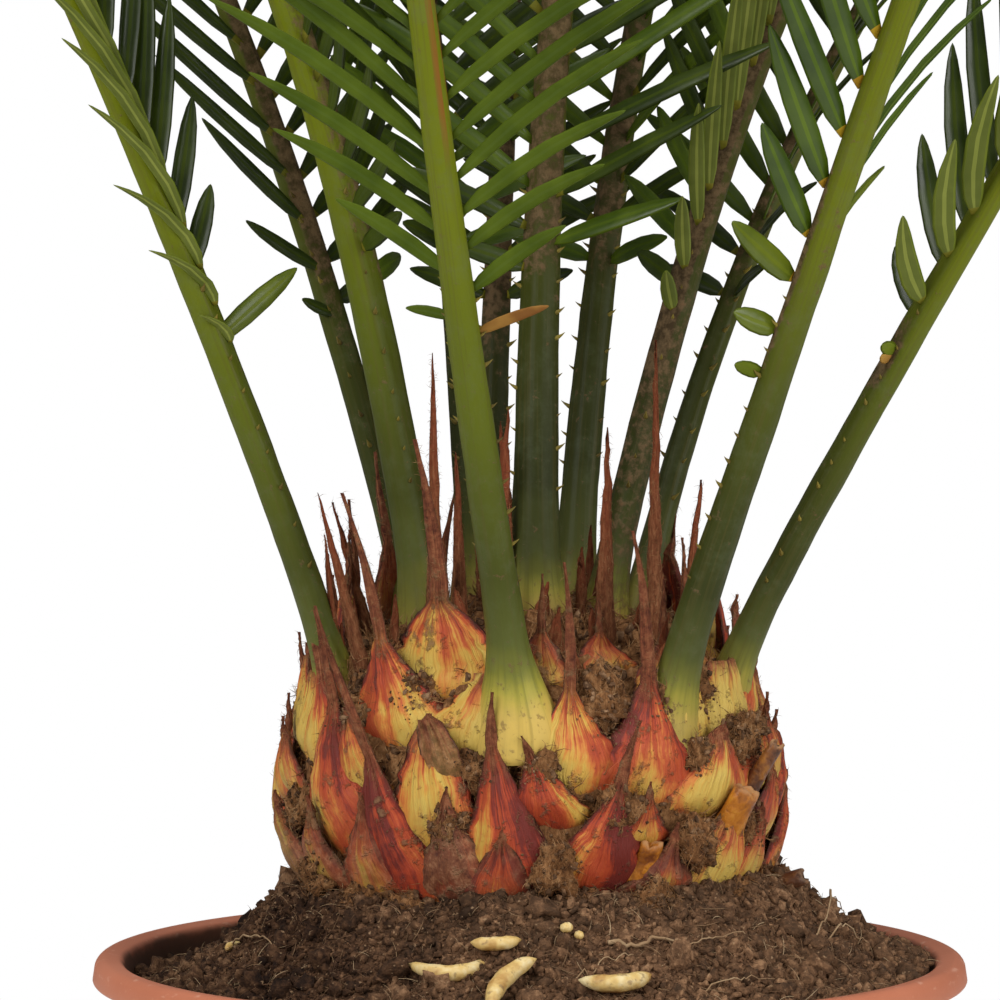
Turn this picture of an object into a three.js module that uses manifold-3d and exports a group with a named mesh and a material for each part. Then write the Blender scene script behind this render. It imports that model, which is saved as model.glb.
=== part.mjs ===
// A young sago palm, Cycas revoluta, in its nursery pot: a squat trunk armoured with old leaf bases, a ring of
// upright feather fronds and a mound of potting soil. Millimetres and degrees, +Z up, origin in the middle of the
// pot's flat underside. Azimuths run anticlockwise from +X, and the front of the plant faces -Y.
import * as THREE from 'three';
import { mergeVertices } from 'three/addons/utils/BufferGeometryUtils.js';
import Module from 'manifold-3d';

const wasm = await Module();
wasm.setup();

// ------------------------------------------------------------------------------------------ driving dimensions
const GAP = 0.3; // between neighbouring solids

const POT = {
  height: 145, rimRadius: 95, lipWidth: 7, lipHeight: 5.5, lipCrown: 1.8,
  lipFlare: 0.4, lipRound: 2.8, lipStep: 1, innerDrop: 0.6, innerLip: 0.8, wallSetback: 0.7,
  footRadius: 68, footChamfer: 2, wall: 2.6, floor: 3.5, sides: 48,
  drains: 6, drainRadius: 6, drainCircle: 46, drainSides: 10,
};

const SOIL = {
  seat: 2, // the level disc that the trunk stands on, above the rim
  wallLevel: -4, wallTilt: 3, // height at the pot's wall, higher on the +X side
  moundLevel: 16, moundTilt: 3.5, moundAzimuth: -40, // height against the trunk
  rings: [12, 46, 49, 57, 62, 68, 74, 80, 86], sectors: 32, ripple: 1.4,
  slopePower: 1.6, // over 1: heaped against the trunk and nearly level towards the wall
  bottomRing: 0.5,
};

// The trunk's outline under the points of its leaf bases: height above the rim and radius. Each entry is one row of
// the diamond lattice that the old leaf bases make.
const TRUNK = {
  rows: [[3, 46], [12, 48.5], [21, 50.5], [30, 51.5], [39, 51.5], [48, 49.5], [57, 45.5], [65, 39], [72, 29.5],
    [77, 18]],
  top: 80, columns: 18, proud: 5, peak: 0.62, ripple: 0.35,
};

// The dry points that stand up from the leaf bases. Those at the front are chosen one by one: azimuth, height,
// length and sideways tilt. The rest follow the golden-angle spiral of the real trunk.
const SPIKES = {
  count: 52, goldenAngle: 137.508, lowest: 30, highest: 66, longest: 30, shortest: 0.25, tilt: 12, half: 2,
  sunk: 5, proud: 1, lean: 0.14,
};
const FRONT = { from: -165, to: -8 };
const FRONT_SPIKES = [
  [-161, 43, 6, -18], [-150, 62, 26, -22], [-139, 57, 20, -12], [-119, 47, 33, -24], [-126, 66, 33, -17],
  [-94, 51, 12, -7], [-79, 61, 27, -1], [-75, 40, 12, 11], [-60, 62, 31, 2], [-51, 42, 8, 8], [-38, 50, 10, 7],
  [-26, 60, 12, 6], [-20, 42, 9, 13], [-12, 54, 14, 8],
];

// What is left of old fronds that were cut away: azimuth, height, radius, length and lean from upright.
const STUB = { taper: 0.85, sunk: 1, sides: 7 };
const STUBS = [
  [-27, 34, 4, 14, 38], [-44, 27, 5, 12, 22], [-62, 22, 3.6, 9, 30], [-12, 16, 4, 11, 66], [78, 30, 4, 13, 45],
  [150, 34, 4, 12, 40],
];

// The young scale leaves, brown and dry, that stand between the fronds: azimuth, radius, length and lean.
const CATAPHYLL = { sunk: 4, widestAt: 0.3, half: 3.2, depth: 2 };
const CATAPHYLLS = [
  [-132, 30, 64, 1], [-104, 25, 58, 2], [-61, 31, 54, 5], [-32, 31, 70, 1], [-18, 34, 44, 6], [-150, 40, 42, 16],
  [-112, 36, 34, 8], [-82, 33, 46, 8], [-48, 40, 32, 9], [20, 38, 36, 16], [62, 36, 40, 18], [96, 26, 34, 12],
  [124, 38, 38, 18], [170, 34, 34, 16], [165, 10, 50, 4], [250, 14, 56, 4], [330, 12, 58, 5], [30, 14, 48, 6],
  [86, 32, 50, 6],
];

// Each frond's foot on the trunk (x, y, height above the rim), the azimuth that it leans to at its foot and tip,
// its lean from upright at its foot and tip, its length and half the width of its stalk.
const FRONDS = [
  { foot: [-40, -13, 50], azimuth: [196, 201], lean: [20.8, 44.6], length: 450, half: 4.2 },
  { foot: [-25, 24, 64], azimuth: [160, 154], lean: [16.8, 62], length: 450, half: 4.0 },
  { foot: [-21.8, -4, 64], azimuth: [183, 175], lean: [9.9, 76], length: 440, half: 5.3 },
  { foot: [-2.6, -43, 50], azimuth: [-121, -87], lean: [20.6, 69.4], length: 440, half: 4.6 },
  { foot: [1.3, -14, 66], azimuth: [100, 43], lean: [10, 53.6], length: 440, half: 5.5 },
  { foot: [9.5, 20, 68], azimuth: [77, 43], lean: [13.8, 68], length: 450, half: 4.6 },
  { foot: [15, 2, 64], azimuth: [7, 9], lean: [13.6, 79], length: 450, half: 4.4 },
  { foot: [24, 26, 64], azimuth: [58, -1], lean: [23, 81], length: 440, half: 3.7 },
  { foot: [28, -33, 48], azimuth: [-32, -66], lean: [23, 49], length: 450, half: 5.0 },
  { foot: [40.6, -10, 50], azimuth: [-12, -19], lean: [29.3, 44], length: 450, half: 4.1 },
  { foot: [-9, 37, 60], azimuth: [87, 78], lean: [14.5, 66], length: 440, half: 4.0 },
  { foot: [-12, 12, 70], azimuth: [130, 118], lean: [6, 52], length: 430, half: 3.8 },
];

const RIB = {
  bareLength: 82, bareStations: [0, 14, 34, 58], socketLength: 74, socketSteps: 5, socketGap: 1.6, footSwell: 1.45,
  swellLength: 16, footBend: 14, uprightShare: 0.75, archPower: 1.8, turnPower: 0.6, tipHalf: 0.9,
  taperPower: 0.8, depth: 0.97,
  // Across and up, anticlockwise as seen from the tip: a keeled back and a flatter face towards the trunk.
  section: [[1, -0.15], [0.7, 0.8], [-0.7, 0.8], [-1, -0.15], [0, -1]],
  right: 0, left: 2, // the sides that carry leaflets
};

const LEAFLET = {
  pairs: 16, foot: 5.2, longest: 88, firstGrowth: 0.1, tipShare: 0.3, tipPower: 2.4, width: 8.4, widthShare: 0.2,
  thickness: 1.3, widestAt: 0.42, angle: [56, 30], rise: [36, 22], bow: 0.05,
  clearance: 7, cuts: [1, 0.72, 0.5], // to other fronds, and the shares of its length that a leaflet may keep
};

// ------------------------------------------------------------------------------------------------ small helpers
const radians = THREE.MathUtils.degToRad;
const mix = THREE.MathUtils.lerp;

function polar(radius, azimuth, z = 0) {
  return new THREE.Vector3(radius * Math.cos(radians(azimuth)), radius * Math.sin(radians(azimuth)), z);
}

// A number from 0 to 1 that looks random and is the same on every run.
function scatter(index, salt) {
  const value = Math.sin(index * 12.9898 + salt * 78.233) * 43758.5453;
  return value - Math.floor(value);
}

function closedGeometry(points, faces) {
  const geometry = new THREE.BufferGeometry();
  geometry.setAttribute('position', new THREE.Float32BufferAttribute(points.flatMap((p) => p.toArray()), 3));
  geometry.setIndex(faces.flat());
  return geometry;
}

function solidOf(geometry) {
  const bare = geometry.clone();
  bare.deleteAttribute('normal');
  bare.deleteAttribute('uv');
  const merged = mergeVertices(bare, 1e-4);
  return new wasm.Manifold(new wasm.Mesh({
    numProp: 3,
    vertProperties: new Float32Array(merged.attributes.position.array),
    triVerts: new Uint32Array(merged.index.array),
  }));
}

// The largest piece of a solid, so that no crumb of a cut and no sealed hollow is left over.
function mainPiece(solid) {
  const pieces = solidOf(geometryOf(solid)).decompose();
  return pieces.reduce((best, piece) => (piece.volume() > best.volume() ? piece : best));
}

function geometryOf(solid) {
  const { vertProperties, triVerts } = solid.getMesh();
  const geometry = new THREE.BufferGeometry();
  geometry.setAttribute('position', new THREE.BufferAttribute(new Float32Array(vertProperties), 3));
  geometry.setIndex(new THREE.BufferAttribute(new Uint32Array(triVerts), 1));
  return geometry;
}

function lathe(profile, sides) {
  const geometry = new THREE.LatheGeometry(profile.map(([r, z]) => new THREE.Vector2(r, z)), sides);
  return geometry.rotateX(Math.PI / 2);
}

// A closed skin over rings of equal length, with both ends closed by a fan over the first and last ring.
function loft(rings) {
  const sides = rings[0].length;
  const points = rings.flat();
  const faces = [];
  for (let i = 0; i + 1 < rings.length; i += 1) {
    for (let j = 0; j < sides; j += 1) {
      const [a, b] = [i * sides + j, i * sides + ((j + 1) % sides)];
      faces.push([a, b, b + sides], [a, b + sides, a + sides]);
    }
  }
  const last = (rings.length - 1) * sides;
  for (let j = 1; j + 1 < sides; j += 1) {
    faces.push([0, j + 1, j], [last, last + j, last + j + 1]);
  }
  return closedGeometry(points, faces);
}

// ---------------------------------------------------------------------------------------------------------- pot
function potGeometry() {
  const { height, rimRadius, lipWidth, lipHeight, lipCrown, footRadius, footChamfer, wall, floor } = POT;
  const innerRim = rimRadius - lipWidth;
  const outerWall = innerRim + wall * POT.wallSetback;
  const shell = solidOf(lathe([
    [0, 0], [footRadius - footChamfer, 0], [footRadius, footChamfer],
    [outerWall, height - lipHeight - POT.lipStep], [rimRadius + POT.lipFlare, height - lipHeight],
    [rimRadius, height - lipCrown], [rimRadius - POT.lipRound, height], [innerRim, height - POT.innerDrop],
    [innerRim - POT.innerLip, height - lipHeight], [footRadius - wall, floor], [0, floor],
  ], POT.sides));
  const drains = [];
  for (let i = 0; i < POT.drains; i += 1) {
    const drain = new THREE.CylinderGeometry(POT.drainRadius, POT.drainRadius, floor * 3, POT.drainSides);
    const middle = polar(POT.drainCircle, ((i + 0.5) * 360) / POT.drains, floor / 2);
    drain.rotateX(Math.PI / 2).translate(...middle.toArray());
    drains.push(solidOf(drain));
  }
  return geometryOf(shell.subtract(wasm.Manifold.union(drains)));
}

// --------------------------------------------------------------------------------------------------------- soil
function soilHeight(radius, azimuth) {
  const wallLevel = SOIL.wallLevel + SOIL.wallTilt * Math.cos(radians(azimuth));
  const moundLevel = SOIL.moundLevel + SOIL.moundTilt * Math.cos(radians(azimuth - SOIL.moundAzimuth));
  const [seatEdge, moundEdge, wallEdge] = [SOIL.rings[2], SOIL.rings[3], SOIL.rings.at(-1)];
  if (radius <= seatEdge) return SOIL.seat;
  const share = THREE.MathUtils.clamp((wallEdge - radius) / (wallEdge - moundEdge), 0, 1);
  const ripple = SOIL.ripple * Math.sin(radians(azimuth * 5 + radius * 9)) * Math.cos(radians(azimuth * 3));
  return mix(wallLevel, moundLevel, share ** SOIL.slopePower) + ripple;
}

function soilGeometry() {
  const bottom = POT.floor + GAP;
  const bottomRadius = POT.footRadius - POT.wall - GAP * 2;
  const ring = (radius, heightAt) => Array.from({ length: SOIL.sectors }, (_, j) => {
    const azimuth = (j * 360) / SOIL.sectors;
    return polar(radius, azimuth, heightAt(azimuth));
  });
  const underside = [ring(bottomRadius * SOIL.bottomRing, () => bottom), ring(bottomRadius, () => bottom)];
  const surface = [...SOIL.rings].reverse().map((r) => ring(r, (a) => POT.height + soilHeight(r, a)));
  return loft([...underside, ...surface]);
}

// -------------------------------------------------------------------------------------------------------- trunk
function trunkRadius(height) {
  const rows = [...TRUNK.rows, [TRUNK.top, 0]];
  const above = Math.max(rows.findIndex(([z]) => z >= height), 1);
  const [[z0, r0], [z1, r1]] = [rows[above - 1], rows[above]];
  return mix(r0, r1, (height - z0) / (z1 - z0));
}

// The armoured skin: every diamond between two rows rises to a point above its middle, as one old leaf base.
function armourGeometry() {
  const { rows, columns, top, proud, peak, ripple } = TRUNK;
  const points = [];
  const faces = [];
  const pitch = 360 / columns;
  const lattice = rows.map(([z, r], row) => Array.from({ length: columns }, (_, c) => {
    const azimuth = (c + (row % 2) / 2) * pitch;
    return points.push(polar(r, azimuth, POT.height + z)) - 1;
  }));
  // Corners of row + 1 to the left and right of column c of this row.
  const left = (row, c) => lattice[row + 1][(c + (row % 2)) % columns];
  const right = (row, c) => lattice[row + 1][(c + (row % 2) + columns - 1) % columns];
  for (let row = 0; row + 2 < rows.length; row += 1) {
    for (let c = 0; c < columns; c += 1) {
      const azimuth = (c + (row % 2) / 2) * pitch;
      const height = mix(rows[row][0], rows[row + 2][0], peak);
      const size = 1 + ripple * (scatter(row * columns + c, 1) * 2 - 1);
      const point = polar(trunkRadius(height) + proud * size, azimuth, POT.height + height);
      const middle = points.push(point) - 1;
      const [foot, head] = [lattice[row][c], lattice[row + 2][c]];
      const [l, r] = [left(row, c), right(row, c)];
      faces.push([foot, l, middle], [l, head, middle], [head, r, middle], [r, foot, middle]);
    }
  }
  const last = rows.length - 1;
  const bottom = points.push(new THREE.Vector3(0, 0, POT.height + rows[0][0])) - 1;
  const crown = points.push(new THREE.Vector3(0, 0, POT.height + top)) - 1;
  for (let c = 0; c < columns; c += 1) {
    const next = (c + 1) % columns;
    faces.push([lattice[0][c], lattice[0][next], left(0, c)], [lattice[0][next], lattice[0][c], bottom]);
    const below = lattice[last - 1][(c + (last % 2)) % columns];
    faces.push([lattice[last][next], lattice[last][c], below], [lattice[last][c], lattice[last][next], crown]);
  }
  return closedGeometry(points, faces);
}

// A four-sided blade through a foot, a widest section and a tip.
function bladeSolid(foot, middle, tip, half, depth, side, outward) {
  const points = [
    foot, middle.clone().addScaledVector(side, half), middle.clone().addScaledVector(outward, depth),
    middle.clone().addScaledVector(side, -half), middle.clone().addScaledVector(outward, -depth), tip,
  ];
  const faces = [];
  for (let j = 0; j < 4; j += 1) {
    const [a, b] = [1 + j, 1 + ((j + 1) % 4)];
    faces.push([0, a, b], [b, a, 5]);
  }
  return solidOf(closedGeometry(points, faces));
}

function spikeSolid([azimuth, height, length, tilt]) {
  const outward = polar(1, azimuth);
  const side = polar(1, azimuth + 90);
  const way = new THREE.Vector3(0, 0, 1).addScaledVector(side, Math.tan(radians(tilt)))
    .addScaledVector(outward, SPIKES.lean);
  const middle = polar(trunkRadius(height) + SPIKES.proud, azimuth, POT.height + height);
  const foot = polar(trunkRadius(height) - SPIKES.sunk, azimuth, POT.height + height - 2 * SPIKES.sunk);
  const tip = middle.clone().addScaledVector(way, length);
  return bladeSolid(foot, middle, tip, SPIKES.half, SPIKES.half, side, outward);
}

function spiralSpikes() {
  const spikes = [];
  for (let i = 0; i < SPIKES.count; i += 1) {
    const azimuth = (i * SPIKES.goldenAngle + 180) % 360 - 180;
    const height = mix(SPIKES.lowest, SPIKES.highest, i / (SPIKES.count - 1));
    const length = SPIKES.longest * mix(SPIKES.shortest, 1, scatter(i, 2));
    const tilt = SPIKES.tilt * (scatter(i, 3) * 2 - 1);
    if (azimuth < FRONT.from || azimuth > FRONT.to) spikes.push([azimuth, height, length, tilt]);
  }
  return spikes;
}

function cataphyllSolid([azimuth, radius, length, lean]) {
  const outward = polar(1, azimuth);
  const way = new THREE.Vector3(0, 0, 1).addScaledVector(outward, Math.tan(radians(lean))).normalize();
  const top = TRUNK.rows.findLast(([, edge]) => edge >= radius)[0];
  const foot = polar(radius, azimuth, POT.height + top - CATAPHYLL.sunk);
  const along = (share) => foot.clone().addScaledVector(way, length * share);
  const side = polar(1, azimuth + 90);
  return bladeSolid(
    foot, along(CATAPHYLL.widestAt), along(1), CATAPHYLL.half, CATAPHYLL.depth, side, outward,
  );
}

function stubSolid([azimuth, height, radius, length, lean]) {
  const stub = new THREE.CylinderGeometry(radius * STUB.taper, radius, length * 2, STUB.sides);
  stub.rotateX(Math.PI / 2).rotateY(radians(lean)).rotateZ(radians(azimuth));
  const foot = polar(trunkRadius(height) - STUB.sunk, azimuth, POT.height + height);
  return solidOf(stub.translate(...foot.toArray()));
}

function trunkGeometry(sockets) {
  const spikes = [...FRONT_SPIKES, ...spiralSpikes()].map(spikeSolid);
  const grown = [...spikes, ...CATAPHYLLS.map(cataphyllSolid), ...STUBS.map(stubSolid)];
  const whole = wasm.Manifold.union([solidOf(armourGeometry()), ...grown]);
  const raisedSoil = solidOf(soilGeometry().translate(0, 0, GAP));
  return geometryOf(mainPiece(whole.subtract(raisedSoil).subtract(wasm.Manifold.union(sockets))));
}

// ------------------------------------------------------------------------------------------------------- fronds
// The rib's middle line: it stands nearly upright on the trunk, swings out within footBend and then arches on.
function frondPath(frond, steps = 90) {
  const { footBend, uprightShare, archPower, turnPower } = RIB;
  const stations = [];
  const at = new THREE.Vector3(frond.foot[0], frond.foot[1], POT.height + frond.foot[2]);
  for (let i = 0; i <= steps; i += 1) {
    const share = i / steps;
    const swing = 1 - uprightShare * Math.exp((-share * frond.length) / footBend);
    const lean = radians(mix(...frond.lean, share ** archPower)) * swing;
    const azimuth = radians(mix(...frond.azimuth, share ** turnPower));
    const along = new THREE.Vector3(
      Math.sin(lean) * Math.cos(azimuth), Math.sin(lean) * Math.sin(azimuth), Math.cos(lean),
    );
    const inward = new THREE.Vector3(
      -Math.cos(lean) * Math.cos(azimuth), -Math.cos(lean) * Math.sin(azimuth), Math.sin(lean),
    );
    stations.push({ at: at.clone(), along, inward, across: new THREE.Vector3().crossVectors(inward, along) });
    at.addScaledVector(along, frond.length / steps);
  }
  return (distance) => {
    const place = THREE.MathUtils.clamp((distance / frond.length) * steps, 0, steps);
    const index = Math.min(Math.floor(place), steps - 1);
    const [a, b] = [stations[index], stations[index + 1]];
    const blend = (key) => a[key].clone().lerp(b[key], place - index);
    return { at: blend('at'), along: blend('along'), inward: blend('inward'), across: blend('across') };
  };
}

function ribHalf(frond, distance) {
  const taper = mix(frond.half, RIB.tipHalf, (distance / frond.length) ** RIB.taperPower);
  return taper * (1 + (RIB.footSwell - 1) * Math.exp(-((distance / RIB.swellLength) ** 2)));
}

function ribSection(frond, path, distance, grown = 0) {
  const { at, inward, across } = path(distance);
  const half = ribHalf(frond, distance) + grown;
  return RIB.section.map(([x, y]) => at.clone()
    .addScaledVector(across, x * half).addScaledVector(inward, y * half * RIB.depth));
}

// The space that a stalk's foot takes out of the trunk, with the gap round it.
function socketSolid(frond, path) {
  const rings = [];
  for (let i = 0; i <= RIB.socketSteps; i += 1) {
    rings.push(ribSection(frond, path, (RIB.socketLength * i) / RIB.socketSteps, GAP * RIB.socketGap));
  }
  rings[0].forEach((point) => point.addScaledVector(path(0).along, -GAP));
  return solidOf(loft(rings));
}

// Leaflets in pairs: where each starts on the rib, how long it is and which way it points.
function leafletPlan(frond, path) {
  const plan = [];
  const leafy = frond.length - RIB.bareLength;
  for (let i = 0; i < LEAFLET.pairs; i += 1) {
    const share = (i + 0.5) / LEAFLET.pairs;
    const distance = RIB.bareLength + leafy * share;
    const { at, along, inward, across } = path(distance);
    const growth = 1 - Math.exp(-share / LEAFLET.firstGrowth);
    const length = LEAFLET.longest * growth * (1 - (1 - LEAFLET.tipShare) * share ** LEAFLET.tipPower);
    const angle = radians(mix(...LEAFLET.angle, share));
    const rise = radians(mix(...LEAFLET.rise, share));
    for (const hand of [1, -1]) {
      const out = across.clone().multiplyScalar(hand * Math.cos(rise)).addScaledVector(inward, Math.sin(rise));
      const way = out.multiplyScalar(Math.sin(angle)).addScaledVector(along, Math.cos(angle)).normalize();
      const broad = along.clone().addScaledVector(way, -along.dot(way)).normalize();
      const face = new THREE.Vector3().crossVectors(broad, way).multiplyScalar(hand).normalize();
      plan.push({ distance, hand, at, way, broad, face, length });
    }
  }
  return plan;
}

function leafletPoints(leaflet) {
  const { at, way, face, length } = leaflet;
  const middle = at.clone().addScaledVector(way, length * LEAFLET.widestAt)
    .addScaledVector(face, length * LEAFLET.bow);
  return [at, middle, at.clone().addScaledVector(way, length)];
}

// The shortest distance between two straight pieces, each given by its two ends.
function pieceDistance([p, q], [r, s]) {
  const [d1, d2, gap] = [q.clone().sub(p), s.clone().sub(r), p.clone().sub(r)];
  const [a, e, f, b, c] = [d1.dot(d1), d2.dot(d2), d2.dot(gap), d1.dot(d2), d1.dot(gap)];
  const clamp = (value) => THREE.MathUtils.clamp(value, 0, 1);
  const spread = a * e - b * b;
  const first = clamp(spread > 1e-9 ? (b * f - c * e) / spread : 0);
  const second = clamp((b * first + f) / e);
  const again = clamp((b * second - c) / a);
  return p.clone().addScaledVector(d1, again).distanceTo(r.clone().addScaledVector(d2, second));
}

function pieces(points) {
  return points.slice(1).map((point, i) => [points[i], point]);
}

// Gives every frond its leaflets in turn. One that would touch another frond is cut shorter or left out.
function growLeaflets(fronds) {
  const taken = fronds.map(({ frond, path }) => {
    const steps = LEAFLET.pairs;
    return pieces(Array.from({ length: steps + 1 }, (_, i) => path((frond.length * i) / steps).at));
  });
  const plans = fronds.map(({ frond, path }) => leafletPlan(frond, path));
  const grown = fronds.map(() => []);
  for (let i = 0; i < LEAFLET.pairs * 2; i += 1) {
    plans.forEach((plan, own) => {
      const others = taken.filter((_, other) => other !== own).flat();
      for (const cut of LEAFLET.cuts) {
        const leaflet = { ...plan[i], length: plan[i].length * cut };
        const blade = pieces(leafletPoints(leaflet));
        if (others.every((o) => blade.every((b) => pieceDistance(b, o) > LEAFLET.clearance))) {
          taken[own].push(...blade);
          grown[own].push(leaflet);
          break;
        }
      }
    });
  }
  return grown;
}

// One closed skin for the rib and its leaflets: each leaflet grows out of its own side face of the rib.
function frondGeometry({ frond, path }, leaflets) {
  const sides = RIB.section.length;
  const feet = [...new Set(leaflets.map((leaflet) => leaflet.distance))];
  const distances = [...RIB.bareStations];
  const footStart = new Map();
  feet.forEach((distance) => {
    footStart.set(distance, distances.length);
    distances.push(distance - LEAFLET.foot / 2, distance + LEAFLET.foot / 2);
  });
  const points = distances.flatMap((distance) => ribSection(frond, path, distance));
  const carried = new Map(leaflets.map((leaflet) => {
    const side = leaflet.hand > 0 ? RIB.right : RIB.left;
    return [footStart.get(leaflet.distance) * sides + side, leaflet];
  }));
  const faces = [];
  for (let i = 0; i + 1 < distances.length; i += 1) {
    for (let j = 0; j < sides; j += 1) {
      const a = i * sides + j;
      const b = i * sides + ((j + 1) % sides);
      if (carried.has(a)) {
        addLeaflet(points, faces, [a, b, b + sides, a + sides], carried.get(a));
      } else {
        faces.push([a, b, b + sides], [a, b + sides, a + sides]);
      }
    }
  }
  const last = (distances.length - 1) * sides;
  const tip = points.push(path(frond.length).at) - 1;
  for (let j = 0; j < sides; j += 1) {
    faces.push([last + j, last + ((j + 1) % sides), tip]);
    if (j > 0 && j + 1 < sides) faces.push([0, j + 1, j]);
  }
  return closedGeometry(points, faces);
}

function addLeaflet(points, faces, foot, leaflet) {
  const { broad, face, hand } = leaflet;
  const width = Math.min(LEAFLET.width, leaflet.length * LEAFLET.widthShare);
  const [, middle, end] = leafletPoints(leaflet);
  const corner = (forward, up) => middle.clone().addScaledVector(broad, (forward * width) / 2)
    .addScaledVector(face, (up * hand * LEAFLET.thickness) / 2);
  const ring = [corner(-1, -1), corner(-1, 1), corner(1, 1), corner(1, -1)];
  const first = points.length;
  points.push(...ring, end);
  for (let j = 0; j < 4; j += 1) {
    const next = (j + 1) % 4;
    faces.push([foot[j], foot[next], first + next], [foot[j], first + next, first + j]);
    faces.push([first + j, first + next, first + 4]);
  }
}

// ----------------------------------------------------------------------------------------------------- assembly
const COLOURS = {
  pot: new THREE.MeshStandardMaterial({ color: 0xc47a5c, roughness: 0.55, metalness: 0 }),
  soil: new THREE.MeshStandardMaterial({ color: 0x3a2a20, roughness: 0.95, metalness: 0 }),
  trunk: new THREE.MeshStandardMaterial({ color: 0xb4673a, roughness: 0.8, metalness: 0 }),
  frond: new THREE.MeshStandardMaterial({ color: 0x3f6b2c, roughness: 0.4, metalness: 0 }),
};

const palm = new THREE.Group();

function addPart(name, geometry, colour) {
  const mesh = new THREE.Mesh(geometry, COLOURS[colour]);
  mesh.name = name;
  palm.add(mesh);
}

const fronds = FRONDS.map((frond) => ({ frond, path: frondPath(frond) }));
const leafletsOf = growLeaflets(fronds);

addPart('pot', potGeometry(), 'pot');
addPart('soil', soilGeometry(), 'soil');
addPart('trunk', trunkGeometry(fronds.map(({ frond, path }) => socketSolid(frond, path))), 'trunk');
fronds.forEach((entry, i) => {
  const name = `frond_${String(i + 1).padStart(2, '0')}`;
  addPart(name, frondGeometry(entry, leafletsOf[i]), 'frond');
});

export default palm;
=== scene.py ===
# %% [markdown]
# # A sago palm in its pot
#
# This lesson dresses the solids of a young sago palm, *Cycas revoluta*, with the surfaces of the real
# plant. The solids come first: they are loaded as a fixed frame, and each new piece takes its place from
# them. Lengths below are in millimetres, the unit that a gardener would use, and become metres only when a
# mesh is made.

# %% The frame of solids
import math
import random

import bmesh
import bpy
import numpy as np
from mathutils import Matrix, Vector, kdtree, noise


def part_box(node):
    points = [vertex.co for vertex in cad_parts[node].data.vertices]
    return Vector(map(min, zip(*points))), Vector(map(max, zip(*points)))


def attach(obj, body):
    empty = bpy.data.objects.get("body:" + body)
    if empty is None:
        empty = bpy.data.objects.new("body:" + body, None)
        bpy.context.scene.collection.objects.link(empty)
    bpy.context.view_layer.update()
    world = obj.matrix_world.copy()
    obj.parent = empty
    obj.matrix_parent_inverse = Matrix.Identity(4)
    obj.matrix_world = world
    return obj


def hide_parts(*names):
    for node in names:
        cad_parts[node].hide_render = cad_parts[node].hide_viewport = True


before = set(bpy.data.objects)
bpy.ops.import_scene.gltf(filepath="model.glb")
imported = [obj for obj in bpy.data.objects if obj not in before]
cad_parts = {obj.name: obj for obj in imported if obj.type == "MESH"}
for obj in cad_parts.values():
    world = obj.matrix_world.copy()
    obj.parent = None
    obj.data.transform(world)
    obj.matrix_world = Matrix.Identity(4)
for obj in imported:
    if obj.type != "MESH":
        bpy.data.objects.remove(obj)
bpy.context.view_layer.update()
MM = 0.001
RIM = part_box("pot")[1].z / MM
RIM_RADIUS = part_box("pot")[1].x / MM
FROND_NODES = sorted(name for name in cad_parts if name.startswith("frond_"))
print("pot rim at", round(RIM), "mm, radius", round(RIM_RADIUS, 1), "mm,", len(FROND_NODES), "fronds")

# %% [markdown]
# ## Camera, floor and light
#
# A long lens from eye level keeps the pot's rim flat and the trunk upright. It could be aimed with a Track
# To constraint, but a look direction turned into a rotation once is plainer and stays put. The light is
# that of a white studio: a bright backdrop, a softer world to light the plant, and three large soft boxes
# that shape the stalks.

# %% Camera
EYE = Vector((-0.0065, -1.3, 0.323))
LOOK_AT = Vector((-0.0065, 0.0, 0.244))
LENS = 216.2

camera_data = bpy.data.cameras.new("camera")
camera_data.sensor_width = 36.0
camera_data.lens = LENS
camera = bpy.data.objects.new("camera", camera_data)
camera.location = EYE
camera.rotation_euler = (LOOK_AT - EYE).to_track_quat("-Z", "Y").to_euler()
bpy.context.scene.collection.objects.link(camera)
bpy.context.scene.camera = camera
print("camera", round((LOOK_AT - EYE).length, 3), "m from the plant's axis")

# %% Soft boxes
SOFT_BOXES = {
    # name: (place, width, height, watts)
    "key": ((-1.3, -1.6, 1.6), 1.3, 1.3, 36.0),
    "fill": ((1.7, -1.3, 1.0), 1.2, 1.4, 28.0),
    "top": ((0.0, -0.1, 2.1), 1.4, 1.2, 13.0),
}


def soft_box(name, place, width, height, watts):
    """An area light that looks at the crown of the trunk."""
    data = bpy.data.lights.new(name, "AREA")
    data.shape = "RECTANGLE"
    data.size = width
    data.size_y = height
    data.energy = watts
    box = bpy.data.objects.new(name, data)
    box.location = place
    box.rotation_euler = (Vector((0, 0, 0.25)) - Vector(place)).to_track_quat("-Z", "Y").to_euler()
    bpy.context.scene.collection.objects.link(box)


for name, facts in SOFT_BOXES.items():
    soft_box(name, *facts)
print(len(SOFT_BOXES), "soft boxes")

# %% [markdown]
# ## Node boards
#
# A material or a Geometry Nodes tree is a board of nodes joined by wires. Drawn by hand it is quick to
# read, but in a script each sum would take four lines. So `Wire` wraps a socket and gives it Python's own
# operators, and `Board.node` makes any other node in one call. An expression such as `1 - mask * 0.5` then
# adds its own Math nodes.


# %% Wires and boards
class Wire:
    """An output socket that can be added, scaled and compared like a number."""

    def __init__(self, board, socket):
        self.board = board
        self.socket = socket

    def __add__(self, other):
        return self.board.sum("ADD", self, other)

    def __radd__(self, other):
        return self.board.sum("ADD", other, self)

    def __sub__(self, other):
        return self.board.sum("SUBTRACT", self, other)

    def __rsub__(self, other):
        return self.board.sum("SUBTRACT", other, self)

    def __mul__(self, other):
        return self.board.sum("MULTIPLY", self, other)

    def __rmul__(self, other):
        return self.board.sum("MULTIPLY", other, self)

    def __pow__(self, other):
        return self.board.sum("POWER", self, other)


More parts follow.
